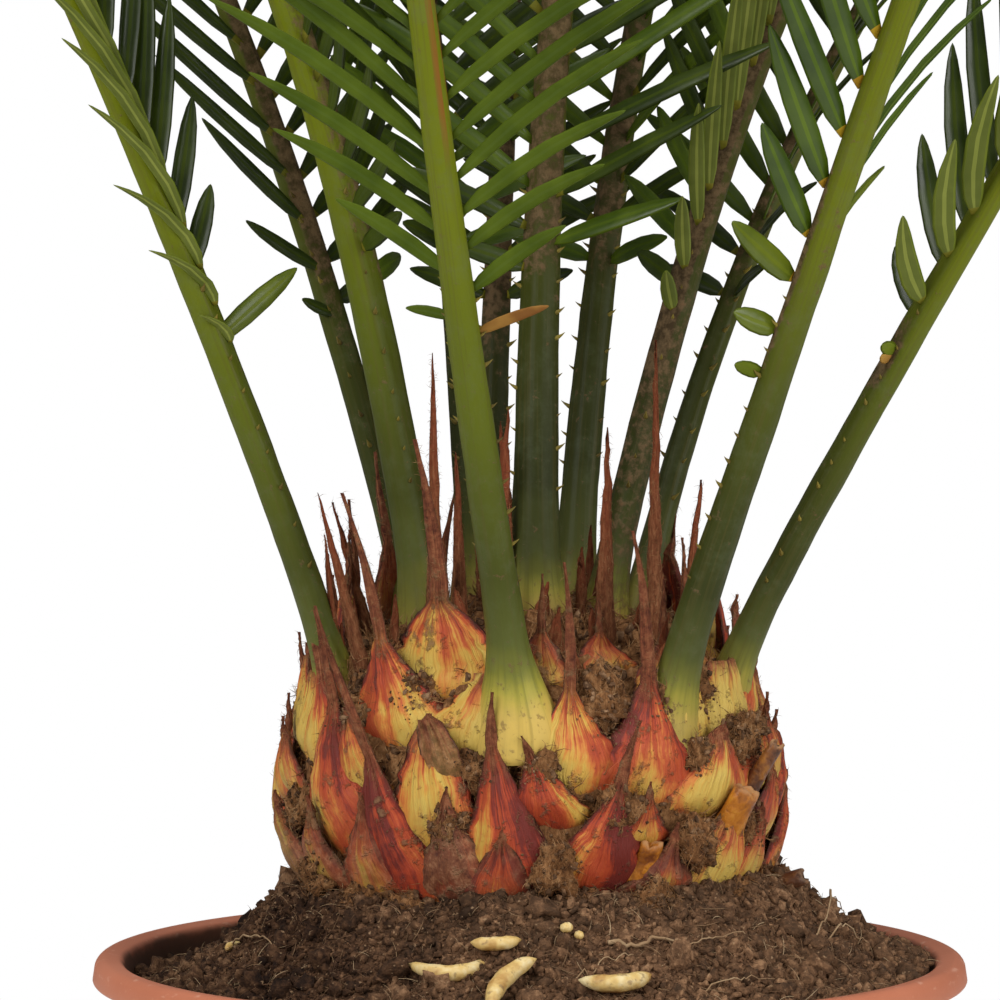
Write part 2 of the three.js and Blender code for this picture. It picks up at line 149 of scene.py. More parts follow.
class Board:
    """A node tree, with one method that adds any node and a few for the common ones."""

    def __init__(self, tree):
        self.tree = tree

    @staticmethod
    def pick(sockets, key):
        """A socket by its number, or the first shown one of that name."""
        if isinstance(key, int):
            return sockets[key]
        return next(socket for socket in sockets if socket.name == key and socket.enabled)

    def plug(self, socket, value):
        """Links a wire to a socket, or sets a plain value on it."""
        if isinstance(value, Wire):
            self.tree.links.new(value.socket, socket)
        elif socket.type == "RGBA":
            socket.default_value = (*value, 1.0)
        else:
            socket.default_value = value

    def node(self, kind, settings=None, values=None, out=0):
        """Adds a node: its settings first, then the values or links of its sockets. Returns one output."""
        made = self.tree.nodes.new(kind)
        for key, value in (settings or {}).items():
            if key == "stops":
                self.set_stops(made.color_ramp.elements, value)
            else:
                setattr(made, key, value)
        for key, value in (values or {}).items():
            self.plug(self.pick(made.inputs, key), value)
        return Wire(self, self.pick(made.outputs, out))

    @staticmethod
    def set_stops(elements, stops):
        while len(elements) < len(stops):
            elements.new(1.0)
        for element, (place, colour) in zip(elements, stops):
            element.position = place
            element.color = (*colour, 1.0)

    def sum(self, operation, first, second):
        """One Math node, or Vector Math where a side is a vector."""
        sides = [side for side in (first, second) if isinstance(side, Wire)]
        if not any(side.socket.type == "VECTOR" for side in sides):
            return self.node("ShaderNodeMath", {"operation": operation}, {0: first, 1: second})
        vector_first = sides[0] is first and first.socket.type == "VECTOR"
        vector, other = (first, second) if vector_first else (second, first)
        wired = isinstance(other, Wire) and other.socket.type == "VECTOR"
        if operation == "MULTIPLY" and not wired and not isinstance(other, (tuple, Vector)):
            return self.node("ShaderNodeVectorMath", {"operation": "SCALE"}, {0: vector, "Scale": other})
        return self.node("ShaderNodeVectorMath", {"operation": operation}, {0: first, 1: second})

    def axes(self, x, y, z):
        return self.node("ShaderNodeCombineXYZ", {}, {0: x, 1: y, 2: z})

    def split(self, vector, axis):
        return self.node("ShaderNodeSeparateXYZ", {}, {0: vector}, axis)


# %% [markdown]
# A material is a board with a Principled shader at its end. The patterns below all read Object coordinates
# or an attribute of the mesh, so they stay on the piece when the piece moves. Numbers that are the same all
# over go straight on the shader's own sockets.


# %% Paint: a board for one material
class Paint(Board):
    """A material whose Principled shader is fed by wires."""

    def __init__(self, name, **constants):
        self.material = bpy.data.materials.new(name)
        self.material.use_nodes = True
        super().__init__(self.material.node_tree)
        self.shader = self.tree.nodes["Principled BSDF"]
        for key, value in constants.items():
            self.plug(self.shader.inputs[key.replace("_", " ")], value)

    def feed(self, **wires):
        for key, value in wires.items():
            self.plug(self.shader.inputs[key.replace("_", " ")], value)
        return self.material

    def here(self):
        return self.node("ShaderNodeTexCoord", out="Object")

    def attribute(self, name):
        return self.node("ShaderNodeAttribute", {"attribute_name": name}, out="Fac")

    def noise(self, place, scale, detail=3.0, roughness=0.55):
        return self.node("ShaderNodeTexNoise", {}, {
            "Vector": place, "Scale": scale, "Detail": detail, "Roughness": roughness,
        })

    def rise(self, value, low, high):
        """0 below low, 1 above high, with a soft step between."""
        return self.node("ShaderNodeMapRange", {"interpolation_type": "SMOOTHSTEP"}, {
            "Value": value, "From Min": low, "From Max": high,
        })

    def mix(self, factor, first, second):
        return self.node("ShaderNodeMix", {"data_type": "RGBA"}, {
            "Factor": factor, "A": first, "B": second,
        }, "Result")

    def ramp(self, value, *stops):
        return self.node("ShaderNodeValToRGB", {"stops": stops}, {"Fac": value})

    def bump(self, height, strength, depth_mm):
        return self.node("ShaderNodeBump", {}, {
            "Height": height, "Strength": strength, "Distance": depth_mm * MM,
        })


# %% [markdown]
# ## The white studio
#
# The backdrop has to be pure white to the camera, but as a light it would wash the colours out, and in the
# glossy leaves it would mirror as a grey film. A Light Path node in the world tells the three apart. The
# floor is a pale disc just large enough for the plant's shadow.

# %% World and floor
BACKDROP = 1.0
AMBIENT = 0.40
MIRRORED = 0.15
FLOOR_RADIUS = 0.9

scene = bpy.context.scene
scene.view_settings.view_transform = "Standard"
scene.view_settings.look = "None"
world = bpy.data.worlds.new("studio")
scene.world = world
world.use_nodes = True
studio = Board(world.node_tree)
seen = studio.node("ShaderNodeLightPath", out="Is Camera Ray")
glossy = studio.node("ShaderNodeLightPath", out="Is Glossy Ray")
background = world.node_tree.nodes["Background"]
background.inputs["Color"].default_value = (1.0, 1.0, 1.0, 1.0)
strength = seen * (BACKDROP - AMBIENT) + glossy * (MIRRORED - AMBIENT) + AMBIENT
studio.plug(background.inputs["Strength"], strength)

floor_mesh = bpy.data.meshes.new("floor")
disc = bmesh.new()
bmesh.ops.create_circle(disc, cap_ends=True, segments=96, radius=FLOOR_RADIUS)
disc.to_mesh(floor_mesh)
disc.free()
floor = bpy.data.objects.new("floor", floor_mesh)
scene.collection.objects.link(floor)
pale = Paint("pale_floor", Roughness=0.6)
floor_mesh.materials.append(pale.feed(
    Base_Color=pale.mix(pale.noise(pale.here(), 6.0), (0.86, 0.86, 0.85), (0.82, 0.82, 0.81)),
))
print("floor disc of", FLOOR_RADIUS, "m")

# %% [markdown]
# ## Helpers for meshes
#
# Most pieces here are skins that are worked out point by point. `Wrap` gathers their points, faces and
# named values ring by ring, and `skin` turns these into an object. What repeats over a surface is left to
# Geometry Nodes: `grow` puts a tree on a host object, sets its inputs and keeps the evaluated result as one
# plain mesh, because instances would be lost in an export.


# %% Skins
UP = Vector((0, 0, 1))


def clamp(value, low=0.0, high=1.0):
    return min(max(value, low), high)


def circle(sides):
    """The corners of a polygon in the unit circle."""
    return [(math.cos(math.tau * j / sides), math.sin(math.tau * j / sides)) for j in range(sides)]


def facing(azimuth):
    """The level directions outward and sideways at an azimuth in degrees."""
    angle = math.radians(azimuth)
    return Vector((math.cos(angle), math.sin(angle), 0)), Vector((-math.sin(angle), math.cos(angle), 0))


def above_rim(height):
    return Vector((0, 0, RIM + height))


def link(name, mesh):
    piece = bpy.data.objects.new(name, mesh)
    scene.collection.objects.link(piece)
    return piece


def skin(name, points, faces, material=None, smooth=True, **layers):
    """An object from points in millimetres, faces, and named numbers or vectors for each point."""
    mesh = bpy.data.meshes.new(name)
    mesh.from_pydata((np.asarray(points, float) * MM).tolist(), [], faces)
    for key, values in layers.items():
        values = np.asarray(values, float)
        kind, field = ("FLOAT", "value") if values.ndim == 1 else ("FLOAT_VECTOR", "vector")
        mesh.attributes.new(key, kind, "POINT").data.foreach_set(field, values.ravel())
    if material:
        mesh.materials.append(material)
    if smooth:
        mesh.shade_smooth()
    mesh.update()
    return link(name, mesh)


def tube_faces(rings, sides, start=0, capped=True, inside_out=False):
    """The faces of a closed skin over rings of points that run anticlockwise seen from the last ring."""
    faces = []
    for i in range(rings - 1):
        for j in range(sides):
            a = start + i * sides + j
            b = start + i * sides + (j + 1) % sides
            faces.append((a, b, b + sides, a + sides))
    if capped:
        faces.append(tuple(start + j for j in reversed(range(sides))))
        faces.append(tuple(start + (rings - 1) * sides + j for j in range(sides)))
    return [tuple(reversed(face)) for face in faces] if inside_out else faces


class Wrap:
    """Points, faces and named values of the points, gathered ring by ring for one skin."""

    def __init__(self, *names):
        self.points = []
        self.faces = []
        self.layers = {name: [] for name in names}

    def add(self, point, **values):
        self.points.append(point)
        for name, value in values.items():
            self.layers[name].append(value)

    def close(self, rings, sides, inside_out=False):
        """Joins the rings that were added last into a closed tube."""
        start = len(self.points) - rings * sides
        self.faces += tube_faces(rings, sides, start, inside_out=inside_out)

    def skin(self, name):
        return skin(name, self.points, self.faces, **self.layers)


def rough(place, size, seed=0.0, octaves=3):
    """Fractal noise from about -1 to 1 at a place in millimetres, with lumps of about that size."""
    return noise.fractal(Vector(place) / size + Vector((seed, seed * 1.7, -seed)), 0.6, 2.1, octaves)


def finish(piece, slot, *nodes, material=None):
    """Gives a finished piece its material, hangs it on the root body and hides the solids it replaces. The slot is
    not used.
    """
    if material:
        piece.data.materials.append(material)
    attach(piece, "root")
    if nodes:
        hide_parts(*nodes)
    print(piece.name, len(piece.data.polygons), "faces")


# %% [markdown]
# Three small trees do all the repeating work. One scatters lumps or fibres over a surface. The other two
# hang a leaflet or a prickle on each waiting point. All three realize their copies and then set the
# material.


# %% Trees of nodes
class Tree(Board):
    """A Geometry Nodes tree with named inputs."""

    KINDS = {
        "Geometry": "NodeSocketGeometry", "Object": "NodeSocketObject", "Float": "NodeSocketFloat",
        "Int": "NodeSocketInt", "Material": "NodeSocketMaterial",
    }

    def __init__(self, name, **inputs):
        super().__init__(bpy.data.node_groups.new(name, "GeometryNodeTree"))
        for label, kind in {"Geometry": "Geometry", **inputs}.items():
            self.tree.interface.new_socket(label, in_out="INPUT", socket_type=self.KINDS[kind])
        self.tree.interface.new_socket("Geometry", in_out="OUTPUT", socket_type="NodeSocketGeometry")
        self.entry = self.tree.nodes.new("NodeGroupInput")

    def input(self, label):
        return Wire(self, self.pick(self.entry.outputs, label))

    def shape_of(self, label):
        return self.node("GeometryNodeObjectInfo", {}, {"Object": self.input(label)}, "Geometry")

    def named(self, label, kind="FLOAT"):
        return self.node("GeometryNodeInputNamedAttribute", {"data_type": kind}, {"Name": label}, "Attribute")

    def random(self, low, high, seed):
        kind = "FLOAT_VECTOR" if isinstance(low, tuple) else "FLOAT"
        return self.node("FunctionNodeRandomValue", {"data_type": kind}, {
            "Min": low, "Max": high, "Seed": seed,
        }, "Value")

    def copies(self, **settings):
        """The blank, copied to every point."""
        settings["Instance"] = self.shape_of("Blank")
        return self.node("GeometryNodeInstanceOnPoints", {}, settings)

    def hung(self):
        """Copies that are turned by the points' way and upper side, stretched and made real."""
        turn = self.node("FunctionNodeAxesToRotation", {"primary_axis": "Y", "secondary_axis": "Z"}, {
            "Primary Axis": self.named("way", "FLOAT_VECTOR"),
            "Secondary Axis": self.named("upper", "FLOAT_VECTOR"),
        })
        stretch = self.named("stretch", "FLOAT_VECTOR")
        copies = self.copies(Points=self.input("Geometry"), Rotation=turn, Scale=stretch)
        return self.node("GeometryNodeRealizeInstances", {}, {0: copies})

    def close(self, geometry):
        leave = self.tree.nodes.new("NodeGroupOutput")
        self.plug(leave.inputs[0], geometry)
        return self.tree

    def close_finished(self, geometry):
        """Sets the material that the tree is given, and closes it."""
        finished = {0: geometry, "Material": self.input("Finish")}
        return self.close(self.node("GeometryNodeSetMaterial", {}, finished))


def grow(name, host, tree, **values):
    """Evaluates a tree on a host object and returns the result as a new object with one plain mesh."""
    modifier = host.modifiers.new(name, "NODES")
    modifier.node_group = tree
    for item in tree.interface.items_tree:
        if item.in_out == "INPUT" and item.name in values:
            modifier[item.identifier] = values[item.name]
    depsgraph = bpy.context.evaluated_depsgraph_get()
    mesh = bpy.data.meshes.new_from_object(host.evaluated_get(depsgraph), depsgraph=depsgraph)
    mesh.name = name
    host.modifiers.remove(modifier)
    return link(name, mesh)


def drop(*objects):
    """Takes away helper objects that aren't part of the plant."""
    for thing in objects:
        bpy.data.objects.remove(thing)


def scatter_tree():
    """Scatters a blank over a surface, tipped, turned and sized at random, each with a tone of its own."""
    tree = Tree(
        "scatter", Blank="Object", Density="Float", Smallest="Float", Largest="Float", Tip="Float",
        Seed="Int", Finish="Material",
    )
    seed = tree.input("Seed")
    spots = tree.node("GeometryNodeDistributePointsOnFaces", {"distribute_method": "RANDOM"}, {
        "Mesh": tree.input("Geometry"), "Density": tree.input("Density") * tree.named("cover"), "Seed": seed,
    }, "Points")
    upright = Wire(tree, spots.socket.node.outputs["Rotation"])
    tip = tree.random((-1.0, -1.0, -3.14), (1.0, 1.0, 3.14), seed + 1)
    most = tree.input("Tip")
    tipped = tree.axes(tree.split(tip, 0) * most, tree.split(tip, 1) * most, tree.split(tip, 2))
    turned = tree.node("FunctionNodeRotateRotation", {"rotation_space": "LOCAL"}, {
        "Rotation": upright, "Rotate By": tree.node("FunctionNodeEulerToRotation", {}, {0: tipped}),
    })
    share = tree.random(0.0, 1.0, seed + 2) ** 2.0
    size = tree.input("Smallest") + share * (tree.input("Largest") - tree.input("Smallest"))
    toned = tree.node("GeometryNodeStoreNamedAttribute", {"data_type": "FLOAT", "domain": "INSTANCE"}, {
        "Geometry": tree.copies(Points=spots, Rotation=turned, Scale=size),
        "Name": "tone", "Value": tree.random(0.0, 1.0, seed + 3),
    })
    return tree.close_finished(tree.node("GeometryNodeRealizeInstances", {}, {0: toned}))


scatter = scatter_tree()
blanks = {}
print("scatter tree of", len(scatter.nodes), "nodes")


def scatter_layers(layers, slot, material, seed):
    """Sows each layer on its host and finishes it as a piece of its own."""
    for number, (name, facts) in enumerate(layers.items()):
        host, blank, density, smallest, largest, tip = facts
        layer = grow(
            name, host, scatter, Blank=blanks[blank], Density=density, Smallest=smallest, Largest=largest,
            Tip=tip, Seed=seed + 10 * number, Finish=material,
        )
        finish(layer, slot)


# %% [markdown]
# ## The pot
#
# The pot is a thin moulded nursery pot with a rolled lip. A Screw modifier would spin its outline, but it
# leaves a seam to weld, so the outline is turned here ring by ring and closed on the axis. The drain holes
# are cut by a Boolean, as they are cut by pins in the real mould.

# %% Outline of the pot
POT = {"foot": 68.0, "wall": 2.6, "lip": 7.0, "lip_height": 5.5, "floor": 3.5}
WALL_TOP = RIM_RADIUS - 0.9 - POT["lip"] + POT["wall"] * 0.7
POT_SIDES = 160
DRAINS, DRAIN_CIRCLE, DRAIN_RADIUS = 6, 46.0, 6.0


def arc(middle_r, middle_z, radius, start, end, steps):
    """Points of a round stretch of an outline: radius and height."""
    return [
        (middle_r + radius * math.cos(math.radians(start + (end - start) * i / steps)),
         middle_z + radius * math.sin(math.radians(start + (end - start) * i / steps)))
        for i in range(steps + 1)
    ]


def pot_outline():
    """From the middle of the underside, up the outside, over the lip and down the inside."""
    lip_low = RIM - POT["lip_height"]
    outer = arc(POT["foot"] - 2.2, 2.2, 2.2, -90, 0, 5)
    under_lip = [(WALL_TOP, lip_low - 1.4), (WALL_TOP + 0.8, lip_low - 0.3)]
    skirt = arc(RIM_RADIUS - 1.4, lip_low + 0.9, 1.1, -90, -10, 4)
    crest = arc(RIM_RADIUS - 3.1, RIM - 2.4, 2.4, 5, 100, 8)
    inside = arc(RIM_RADIUS - 5.4, RIM - 2.2, 1.9, 95, 180, 5)
    down = [(WALL_TOP - POT["wall"], lip_low - 2), (POT["foot"] - POT["wall"], POT["floor"] + 2)]
    heel = [(POT["foot"] - POT["wall"] - 2, POT["floor"])]
    return [(0, 0), (30, 0), *outer, *under_lip, *skirt, *crest, *inside, *down, *heel, (30, POT["floor"]),
            (0, POT["floor"])]


def turned(name, outline, sides):
    """Spins an outline that starts and ends on the axis."""
    points = [(0, 0, outline[0][1])]
    for radius, z in outline[1:-1]:
        points += [(radius * x, radius * y, z) for x, y in circle(sides)]
    points.append((0, 0, outline[-1][1]))
    faces = tube_faces(len(outline) - 2, sides, 1, capped=False)
    last = len(points) - 1
    for j in range(sides):
        k = (j + 1) % sides
        faces.append((0, 1 + k, 1 + j))
        faces.append((last, last - sides + j, last - sides + k))
    return skin(name, points, faces)


pot = turned("pot_shell", pot_outline(), POT_SIDES)
print("pot outline of", len(pot_outline()), "points")


# %% Drain holes
def drain_pins():
    cutter = bmesh.new()
    for i in range(DRAINS):
        angle = math.tau * (i + 0.5) / DRAINS
        radius = DRAIN_RADIUS * MM
        ring = bmesh.ops.create_cone(
            cutter, cap_ends=True, segments=28, radius1=radius, radius2=radius, depth=0.02,
        )
        place = Vector((math.cos(angle), math.sin(angle), 0)) * DRAIN_CIRCLE * MM
        bmesh.ops.translate(cutter, verts=ring["verts"], vec=place)
    mesh = bpy.data.meshes.new("drain_pins")
    cutter.to_mesh(mesh)
    cutter.free()
    return link("drain_pins", mesh)


def cut_with(body, tool):
    """The body less the tool, as a plain mesh on the body's object."""
    modifier = body.modifiers.new("cut", "BOOLEAN")
    modifier.operation = "DIFFERENCE"
    modifier.solver = "EXACT"
    modifier.object = tool
    depsgraph = bpy.context.evaluated_depsgraph_get()
    mesh = bpy.data.meshes.new_from_object(body.evaluated_get(depsgraph), depsgraph=depsgraph)
    body.modifiers.remove(modifier)
    body.data = mesh


pins = drain_pins()
cut_with(pot, pins)
drop(pins)
pot.data.set_sharp_from_angle(angle=math.radians(40))
print("pot with", DRAINS, "drain holes")

# %% [markdown]
# The plastic is terracotta-coloured all through. Real pots are never one flat colour: the moulding leaves
# slow swirls and handling leaves pale scuffs on the lip. The inside is made dark brown below the rim; the dark lies
# where a point is nearer to the axis than the middle of the wall at its height, so it needs no painting.


# %% Terracotta plastic
def terracotta():
    paint = Paint("terracotta_plastic", Specular_IOR_Level=0.4)
    here = paint.here()
    up = paint.split(here, 2)
    reach = paint.node("ShaderNodeVectorMath", {"operation": "LENGTH"}, {
        0: paint.axes(paint.split(here, 0), paint.split(here, 1), 0.0),
    }, "Value")
    swirl = paint.noise(here, 22.0, 4.0)
    base = paint.ramp(
        swirl, (0.3, (0.44, 0.138, 0.068)), (0.55, (0.50, 0.165, 0.085)), (0.8, (0.54, 0.195, 0.110)),
    )
    scuff = paint.rise(paint.noise(here * (1.0, 1.0, 3.0), 260.0, 2.0), 0.6, 0.72)
    lip = paint.rise(up, (RIM - 3.5) * MM, (RIM - 0.5) * MM)
    base = paint.mix(scuff * (lip * 0.4 + 0.08), base, (0.66, 0.36, 0.25))
    # The inside of the pot is made dark brown up to a ragged line just under the rim.
    above_dark_line = paint.rise(paint.noise(here, 90.0) * 6.0 * MM + up, (RIM + 0.6) * MM, (RIM + 4.2) * MM)
    slope = (WALL_TOP - POT["foot"]) / (RIM - POT["lip_height"])
    past_wall = reach - up * slope - (POT["foot"] - POT["wall"] / 2) * MM
    inside = (1.0 - paint.rise(past_wall, -0.7 * MM, 0.7 * MM)) * paint.rise(up, 1.0 * MM, 3.0 * MM)
    base = paint.mix(inside * (1.0 - above_dark_line), base, (0.075, 0.031, 0.014))
    grain = paint.noise(here, 900.0, 2.0)
    return paint.feed(
        Base_Color=base,
        Roughness=0.42 + swirl * 0.16 + inside * 0.25,
        Normal=paint.bump(grain * 0.5 + swirl, 0.25, 0.25),
    )


pot.data.materials.clear()
finish(pot, "pot", "pot", material=terracotta())

# %% [markdown]
# ## The soil
#
# Peat is a heap of crumbs. The heap is a fine polar grid that rises from the pot's wall to the trunk,
# pushed up and down by noise, and the crumbs on it are lumps scattered by Geometry Nodes in sizes from grit
# to clods. Fibres of root lie over them, and a few pale curled husks.

# %% The heap
SOIL = {"wall": -4.0, "wall_tilt": 3.0, "mound": 13.5, "mound_tilt": 3.5, "mound_azimuth": -40.0}
# radii: where the heap starts inside the trunk, meets the trunk, is level, and ends inside the pot's wall
SOIL_START, SOIL_FOOT, SOIL_EDGE, SOIL_WALL = 34.0, 57.0, 86.0, 87.0
SOIL_DEPTH = 14
SLOPE_POWER = 1.6
SOIL_SECTORS, SOIL_RINGS = 240, 52


def soil_height(radius, azimuth):
    """Height of the soil over the rim: heaped against the trunk and nearly level towards the wall."""
    wall = SOIL["wall"] + SOIL["wall_tilt"] * math.cos(math.radians(azimuth))
    mound = SOIL["mound"] + SOIL["mound_tilt"] * math.cos(math.radians(azimuth - SOIL["mound_azimuth"]))
    share = clamp((SOIL_EDGE - radius) / (SOIL_EDGE - SOIL_FOOT), 0.0, 1.1)
    return wall + (mound - wall) * share ** SLOPE_POWER


def clods(x, y):
    """The unevenness of the heap: broad clods, small ones and deep little pits."""
    broad = rough((x, y, 0), 15.0, 3.0, 2)
    small = rough((x, y, 0), 4.6, 9.0, 3)
    return 2.7 * broad + 2.4 * small - 2.6 * max(small - 0.12, 0.0)


def soil_skin():
    """The heap's top, with one ring more under its edge and flat ends inside the pot and the trunk."""
    wrap = Wrap("cover", "tone")
    for i in range(SOIL_RINGS):
        radius = SOIL_START + (SOIL_WALL - SOIL_START) * i / (SOIL_RINGS - 1)
        calm = min((SOIL_WALL - radius) / 4.0, 1.0)
        for j in range(SOIL_SECTORS):
            azimuth = 360.0 * j / SOIL_SECTORS
            x = radius * math.cos(math.radians(azimuth))
            y = radius * math.sin(math.radians(azimuth))
            height = RIM + soil_height(radius, azimuth) + clods(x, y) * (0.35 + 0.65 * calm)
            wrap.add((x, y, height), cover=float(46 < radius < SOIL_EDGE), tone=0.35)
    for x, y, _ in wrap.points[-SOIL_SECTORS:]:
        wrap.add((x * 0.985, y * 0.985, RIM - SOIL_DEPTH), cover=0.0, tone=0.35)
    wrap.close(SOIL_RINGS + 1, SOIL_SECTORS, inside_out=True)
    return wrap.skin("soil_heap")


heap = soil_skin()
print("soil heap of", len(heap.data.polygons), "faces")


# %% Peat
def peat(name, *browns):
    """Moist peat: every crumb has a brown of its own, and each is matt, rough and flecked. The right half is dusted
    paler, partly painted light, and the left half is darkened as painted shade.
    """
    paint = Paint(name, Specular_IOR_Level=0.15)
    here = paint.here()
    clod = paint.noise(here, 150.0, 4.0, 0.6)
    crumb = paint.noise(here, 620.0, 3.0, 0.65)
    fleck = paint.rise(paint.noise(here, 1000.0, 1.0), 0.66, 0.76)
    broad = paint.noise(here, 42.0, 2.0)
    shade = paint.attribute("tone") * 0.45 + clod * 0.5 + (crumb - 0.5) * 1.5 + (broad - 0.5) * 0.9 + 0.05
    base = paint.ramp(shade, *zip((0.12, 0.38, 0.66, 0.92), browns))
    # Painted light and shade by side: the right half is dusted paler, partly painted light, and the left half is
    # darkened towards black as painted shade.
    dusty_lit_side = paint.rise(paint.split(here, 0) + (broad - 0.5) * 0.06, -0.06, 0.0)
    base = paint.mix(dusty_lit_side * 0.20, base, (0.23, 0.13, 0.070))
    base = paint.mix((1.0 - dusty_lit_side) * 0.42, base, (0.016, 0.007, 0.004))
    base = paint.mix(fleck * 0.55, base, (0.42, 0.27, 0.15))
    return paint.feed(
        Base_Color=base,
        Roughness=0.8 + crumb * 0.2,
        Normal=paint.bump(crumb + clod, 0.9, 0.9),
    )


moist_peat = peat(
    "moist_peat", (0.010, 0.0045, 0.0025), (0.050, 0.023, 0.011), (0.130, 0.064, 0.031), (0.30, 0.165, 0.085),
)
finish(heap, "soil", "soil", material=moist_peat)


# %% Crumbs
def lump(name, seed, detail, roughness):
    """A crumb one millimetre across: a ball with its corners pushed in and out."""
    shape = bmesh.new()
    bmesh.ops.create_icosphere(shape, subdivisions=detail, radius=0.5 * MM)
    for corner in shape.verts:
        corner.co *= 1.0 + roughness * rough(corner.co / MM * 9, 4.0, seed, 2)
        corner.co.z *= 0.72
        corner.co.x *= 1.2
    for face in shape.faces:
        face.smooth = True
    mesh = bpy.data.meshes.new(name)
    shape.to_mesh(mesh)
    shape.free()
    return link(name, mesh)


def grain(name):
    """The smallest crumb: eight faces."""
    corners = [(0.6, 0, 0), (0, 0.45, 0.1), (-0.55, 0.1, 0), (0, -0.5, -0.1), (0.05, 0, 0.42), (0, 0, -0.4)]
    faces = [(0, 1, 4), (1, 2, 4), (2, 3, 4), (3, 0, 4), (1, 0, 5), (2, 1, 5), (3, 2, 5), (0, 3, 5)]
    return skin(name, corners, faces, smooth=False)


CRUMB_LAYERS = {
    # name: (host, blank, how many for each square metre, smallest, largest, tip)
    "soil_grit": (heap, "grain", 1100000.0, 0.45, 1.5, 3.0),
    "soil_crumbs": (heap, "crumb", 360000.0, 0.7, 2.6, 3.0),
    "soil_clods": (heap, "clod", 16000.0, 2.8, 7.5, 3.0),
}
blanks["grain"] = grain("grain")
blanks["crumb"] = lump("crumb", 4.0, 1, 0.9)
blanks["clod"] = lump("clod", 8.0, 2, 0.8)
scatter_layers(CRUMB_LAYERS, "soil", moist_peat, 5)


# %% Fibres
def strand(name, length, thickness, bend, steps=4):
    """A three-sided hair along X that curves towards Y, lifts in its middle and ends in a point."""
    points = []
    for i in range(steps + 1):
        share = i / steps
        middle = Vector((length * share, bend * share ** 2, 0.3 + 0.07 * length * math.sin(math.pi * share)))
        reach = thickness / 2 * (1 - 0.6 * share)
        ring = [middle + Vector((0, y, z)) * reach for y, z in circle(3)]
        points += ring if i < steps else [middle]
    faces = tube_faces(steps, 3, capped=False) + [(2, 1, 0)]
    last = 3 * steps
    faces += [(last - 3 + j, last - 3 + (j + 1) % 3, last) for j in range(3)]
    return skin(name, points, faces)


def root_fibre():
    paint = Paint("root_fibre", Roughness=0.75, Specular_IOR_Level=0.2)
    shade = paint.attribute("tone") * 0.7 + paint.noise(paint.here(), 160.0, 2.0) * 0.4
    return paint.feed(Base_Color=paint.ramp(
        shade, (0.2, (0.075, 0.036, 0.018)), (0.5, (0.17, 0.09, 0.045)), (0.75, (0.30, 0.19, 0.10)),
        (0.95, (0.50, 0.37, 0.22)),
    ))


pale_fibre = root_fibre()
blanks["strand"] = strand("strand", 6.0, 0.26, 2.2)
scatter_layers({"soil_fibres": (heap, "strand", 380000.0, 0.12, 0.95, 0.5)}, "soil", pale_fibre, 51)


# %% Husks and long rootlets
HUSKS = [
    # x, y, length, thickness, turn, bow, slope
    (-16.5, -67.0, 17.0, 3.6, 4.0, -6.4, 0.04),
    (-5.8, -73.6, 15.5, 4.0, 52.0, 2.6, 0.55),
    (18.0, -73.4, 15.5, 3.9, 14.0, -3.4, 0.04),
    (-7.2, -64.2, 10.5, 3.0, 6.0, -1.6, 0.04),
    (7.3, -62.2, 2.8, 2.2, 30.0, 0.2, 0.04),
    (9.9, -62.8, 2.4, 1.9, 110.0, 0.2, 0.04),
    (-64.0, -17.0, 6.5, 1.8, 50.0, 1.4, 0.04),
    (34.0, 64.0, 13.0, 3.2, 35.0, 2.6, 0.04),
    (-60.0, 38.0, 11.0, 3.0, 80.0, 2.0, 0.04),
]
ROOTLETS = [
    # start x and y, end x and y, lift, thickness
    (30.8, -57.8, 50.6, -44.0, 0.5, 0.35),
    (16.4, -61.3, 30.5, -57.4, 0.5, 1.1),
    (61.6, -28.7, 68.5, 12.0, 4.5, 0.4),
    (62.6, -26.6, 73.1, -16.9, 4.0, 0.4),
    (8.0, -70.0, 22.0, -62.0, 1.0, 0.35),
    (36.0, -66.0, 50.0, -58.0, 1.0, 0.35),
    (-10.0, 66.0, -34.0, 58.0, 2.0, 0.5),
    (-66.0, -12.0, -52.0, -40.0, 1.2, 0.5),
]


def on_soil(x, y, lift=0.0):
    azimuth = math.degrees(math.atan2(y, x))
    return Vector((x, y, RIM + soil_height(math.hypot(x, y), azimuth) + clods(x, y) + lift))


def sausage(wrap, middles, radii, sides=8, **values):
    """Adds a round closed skin along a row of middle points."""
    for i, (middle, radius) in enumerate(zip(middles, radii)):
        ahead = middles[min(i + 1, len(middles) - 1)] - middles[max(i - 1, 0)]
        across = ahead.cross(UP).normalized()
        over = across.cross(ahead).normalized()
        for x, y in circle(sides):
            wrap.add(middle + across * (radius * x) + over * (radius * y), **values)
    wrap.close(len(middles), sides, inside_out=True)


def husk_skin():
    wrap = Wrap()
    for number, (x, y, length, thickness, turn, bow, slope) in enumerate(HUSKS):
        middle = on_soil(x, y, thickness * 0.95)
        way = Vector((math.cos(math.radians(turn)), math.sin(math.radians(turn)), slope))
        side = way.cross(UP)
        middles, radii = [], []
        for i in range(15):
            share = i / 14 * 2 - 1
            rise = Vector((0, 0, 0.25 * bow * (1 - share ** 2)))
            middles.append(middle + way * (share * length / 2) + side * (bow * share ** 2) + rise)
            ripple = 1 + 0.05 * math.sin(i * 1.7 + number)
            radii.append(max(thickness / 2 * (1 - abs(share) ** 3) ** 0.6 * ripple, 0.15))
        sausage(wrap, middles, radii)
    return wrap.skin("soil_husks")


def rootlet_skin():
    wrap = Wrap("tone")
    for x0, y0, x1, y1, lift, thickness in ROOTLETS:
        middles, radii = [], []
        for i in range(25):
            share = i / 24
            wave = 0.8 * math.sin(share * 9 + x0)
            x = x0 + (x1 - x0) * share + wave
            y = y0 + (y1 - y0) * share + wave * 0.5
            middles.append(on_soil(x, y, 1.0 + lift * math.sin(math.pi * share)))
            radii.append(thickness / 2 * (1 - 0.5 * share))
        sausage(wrap, middles, radii, 6, tone=0.8)
    return wrap.skin("soil_rootlets")


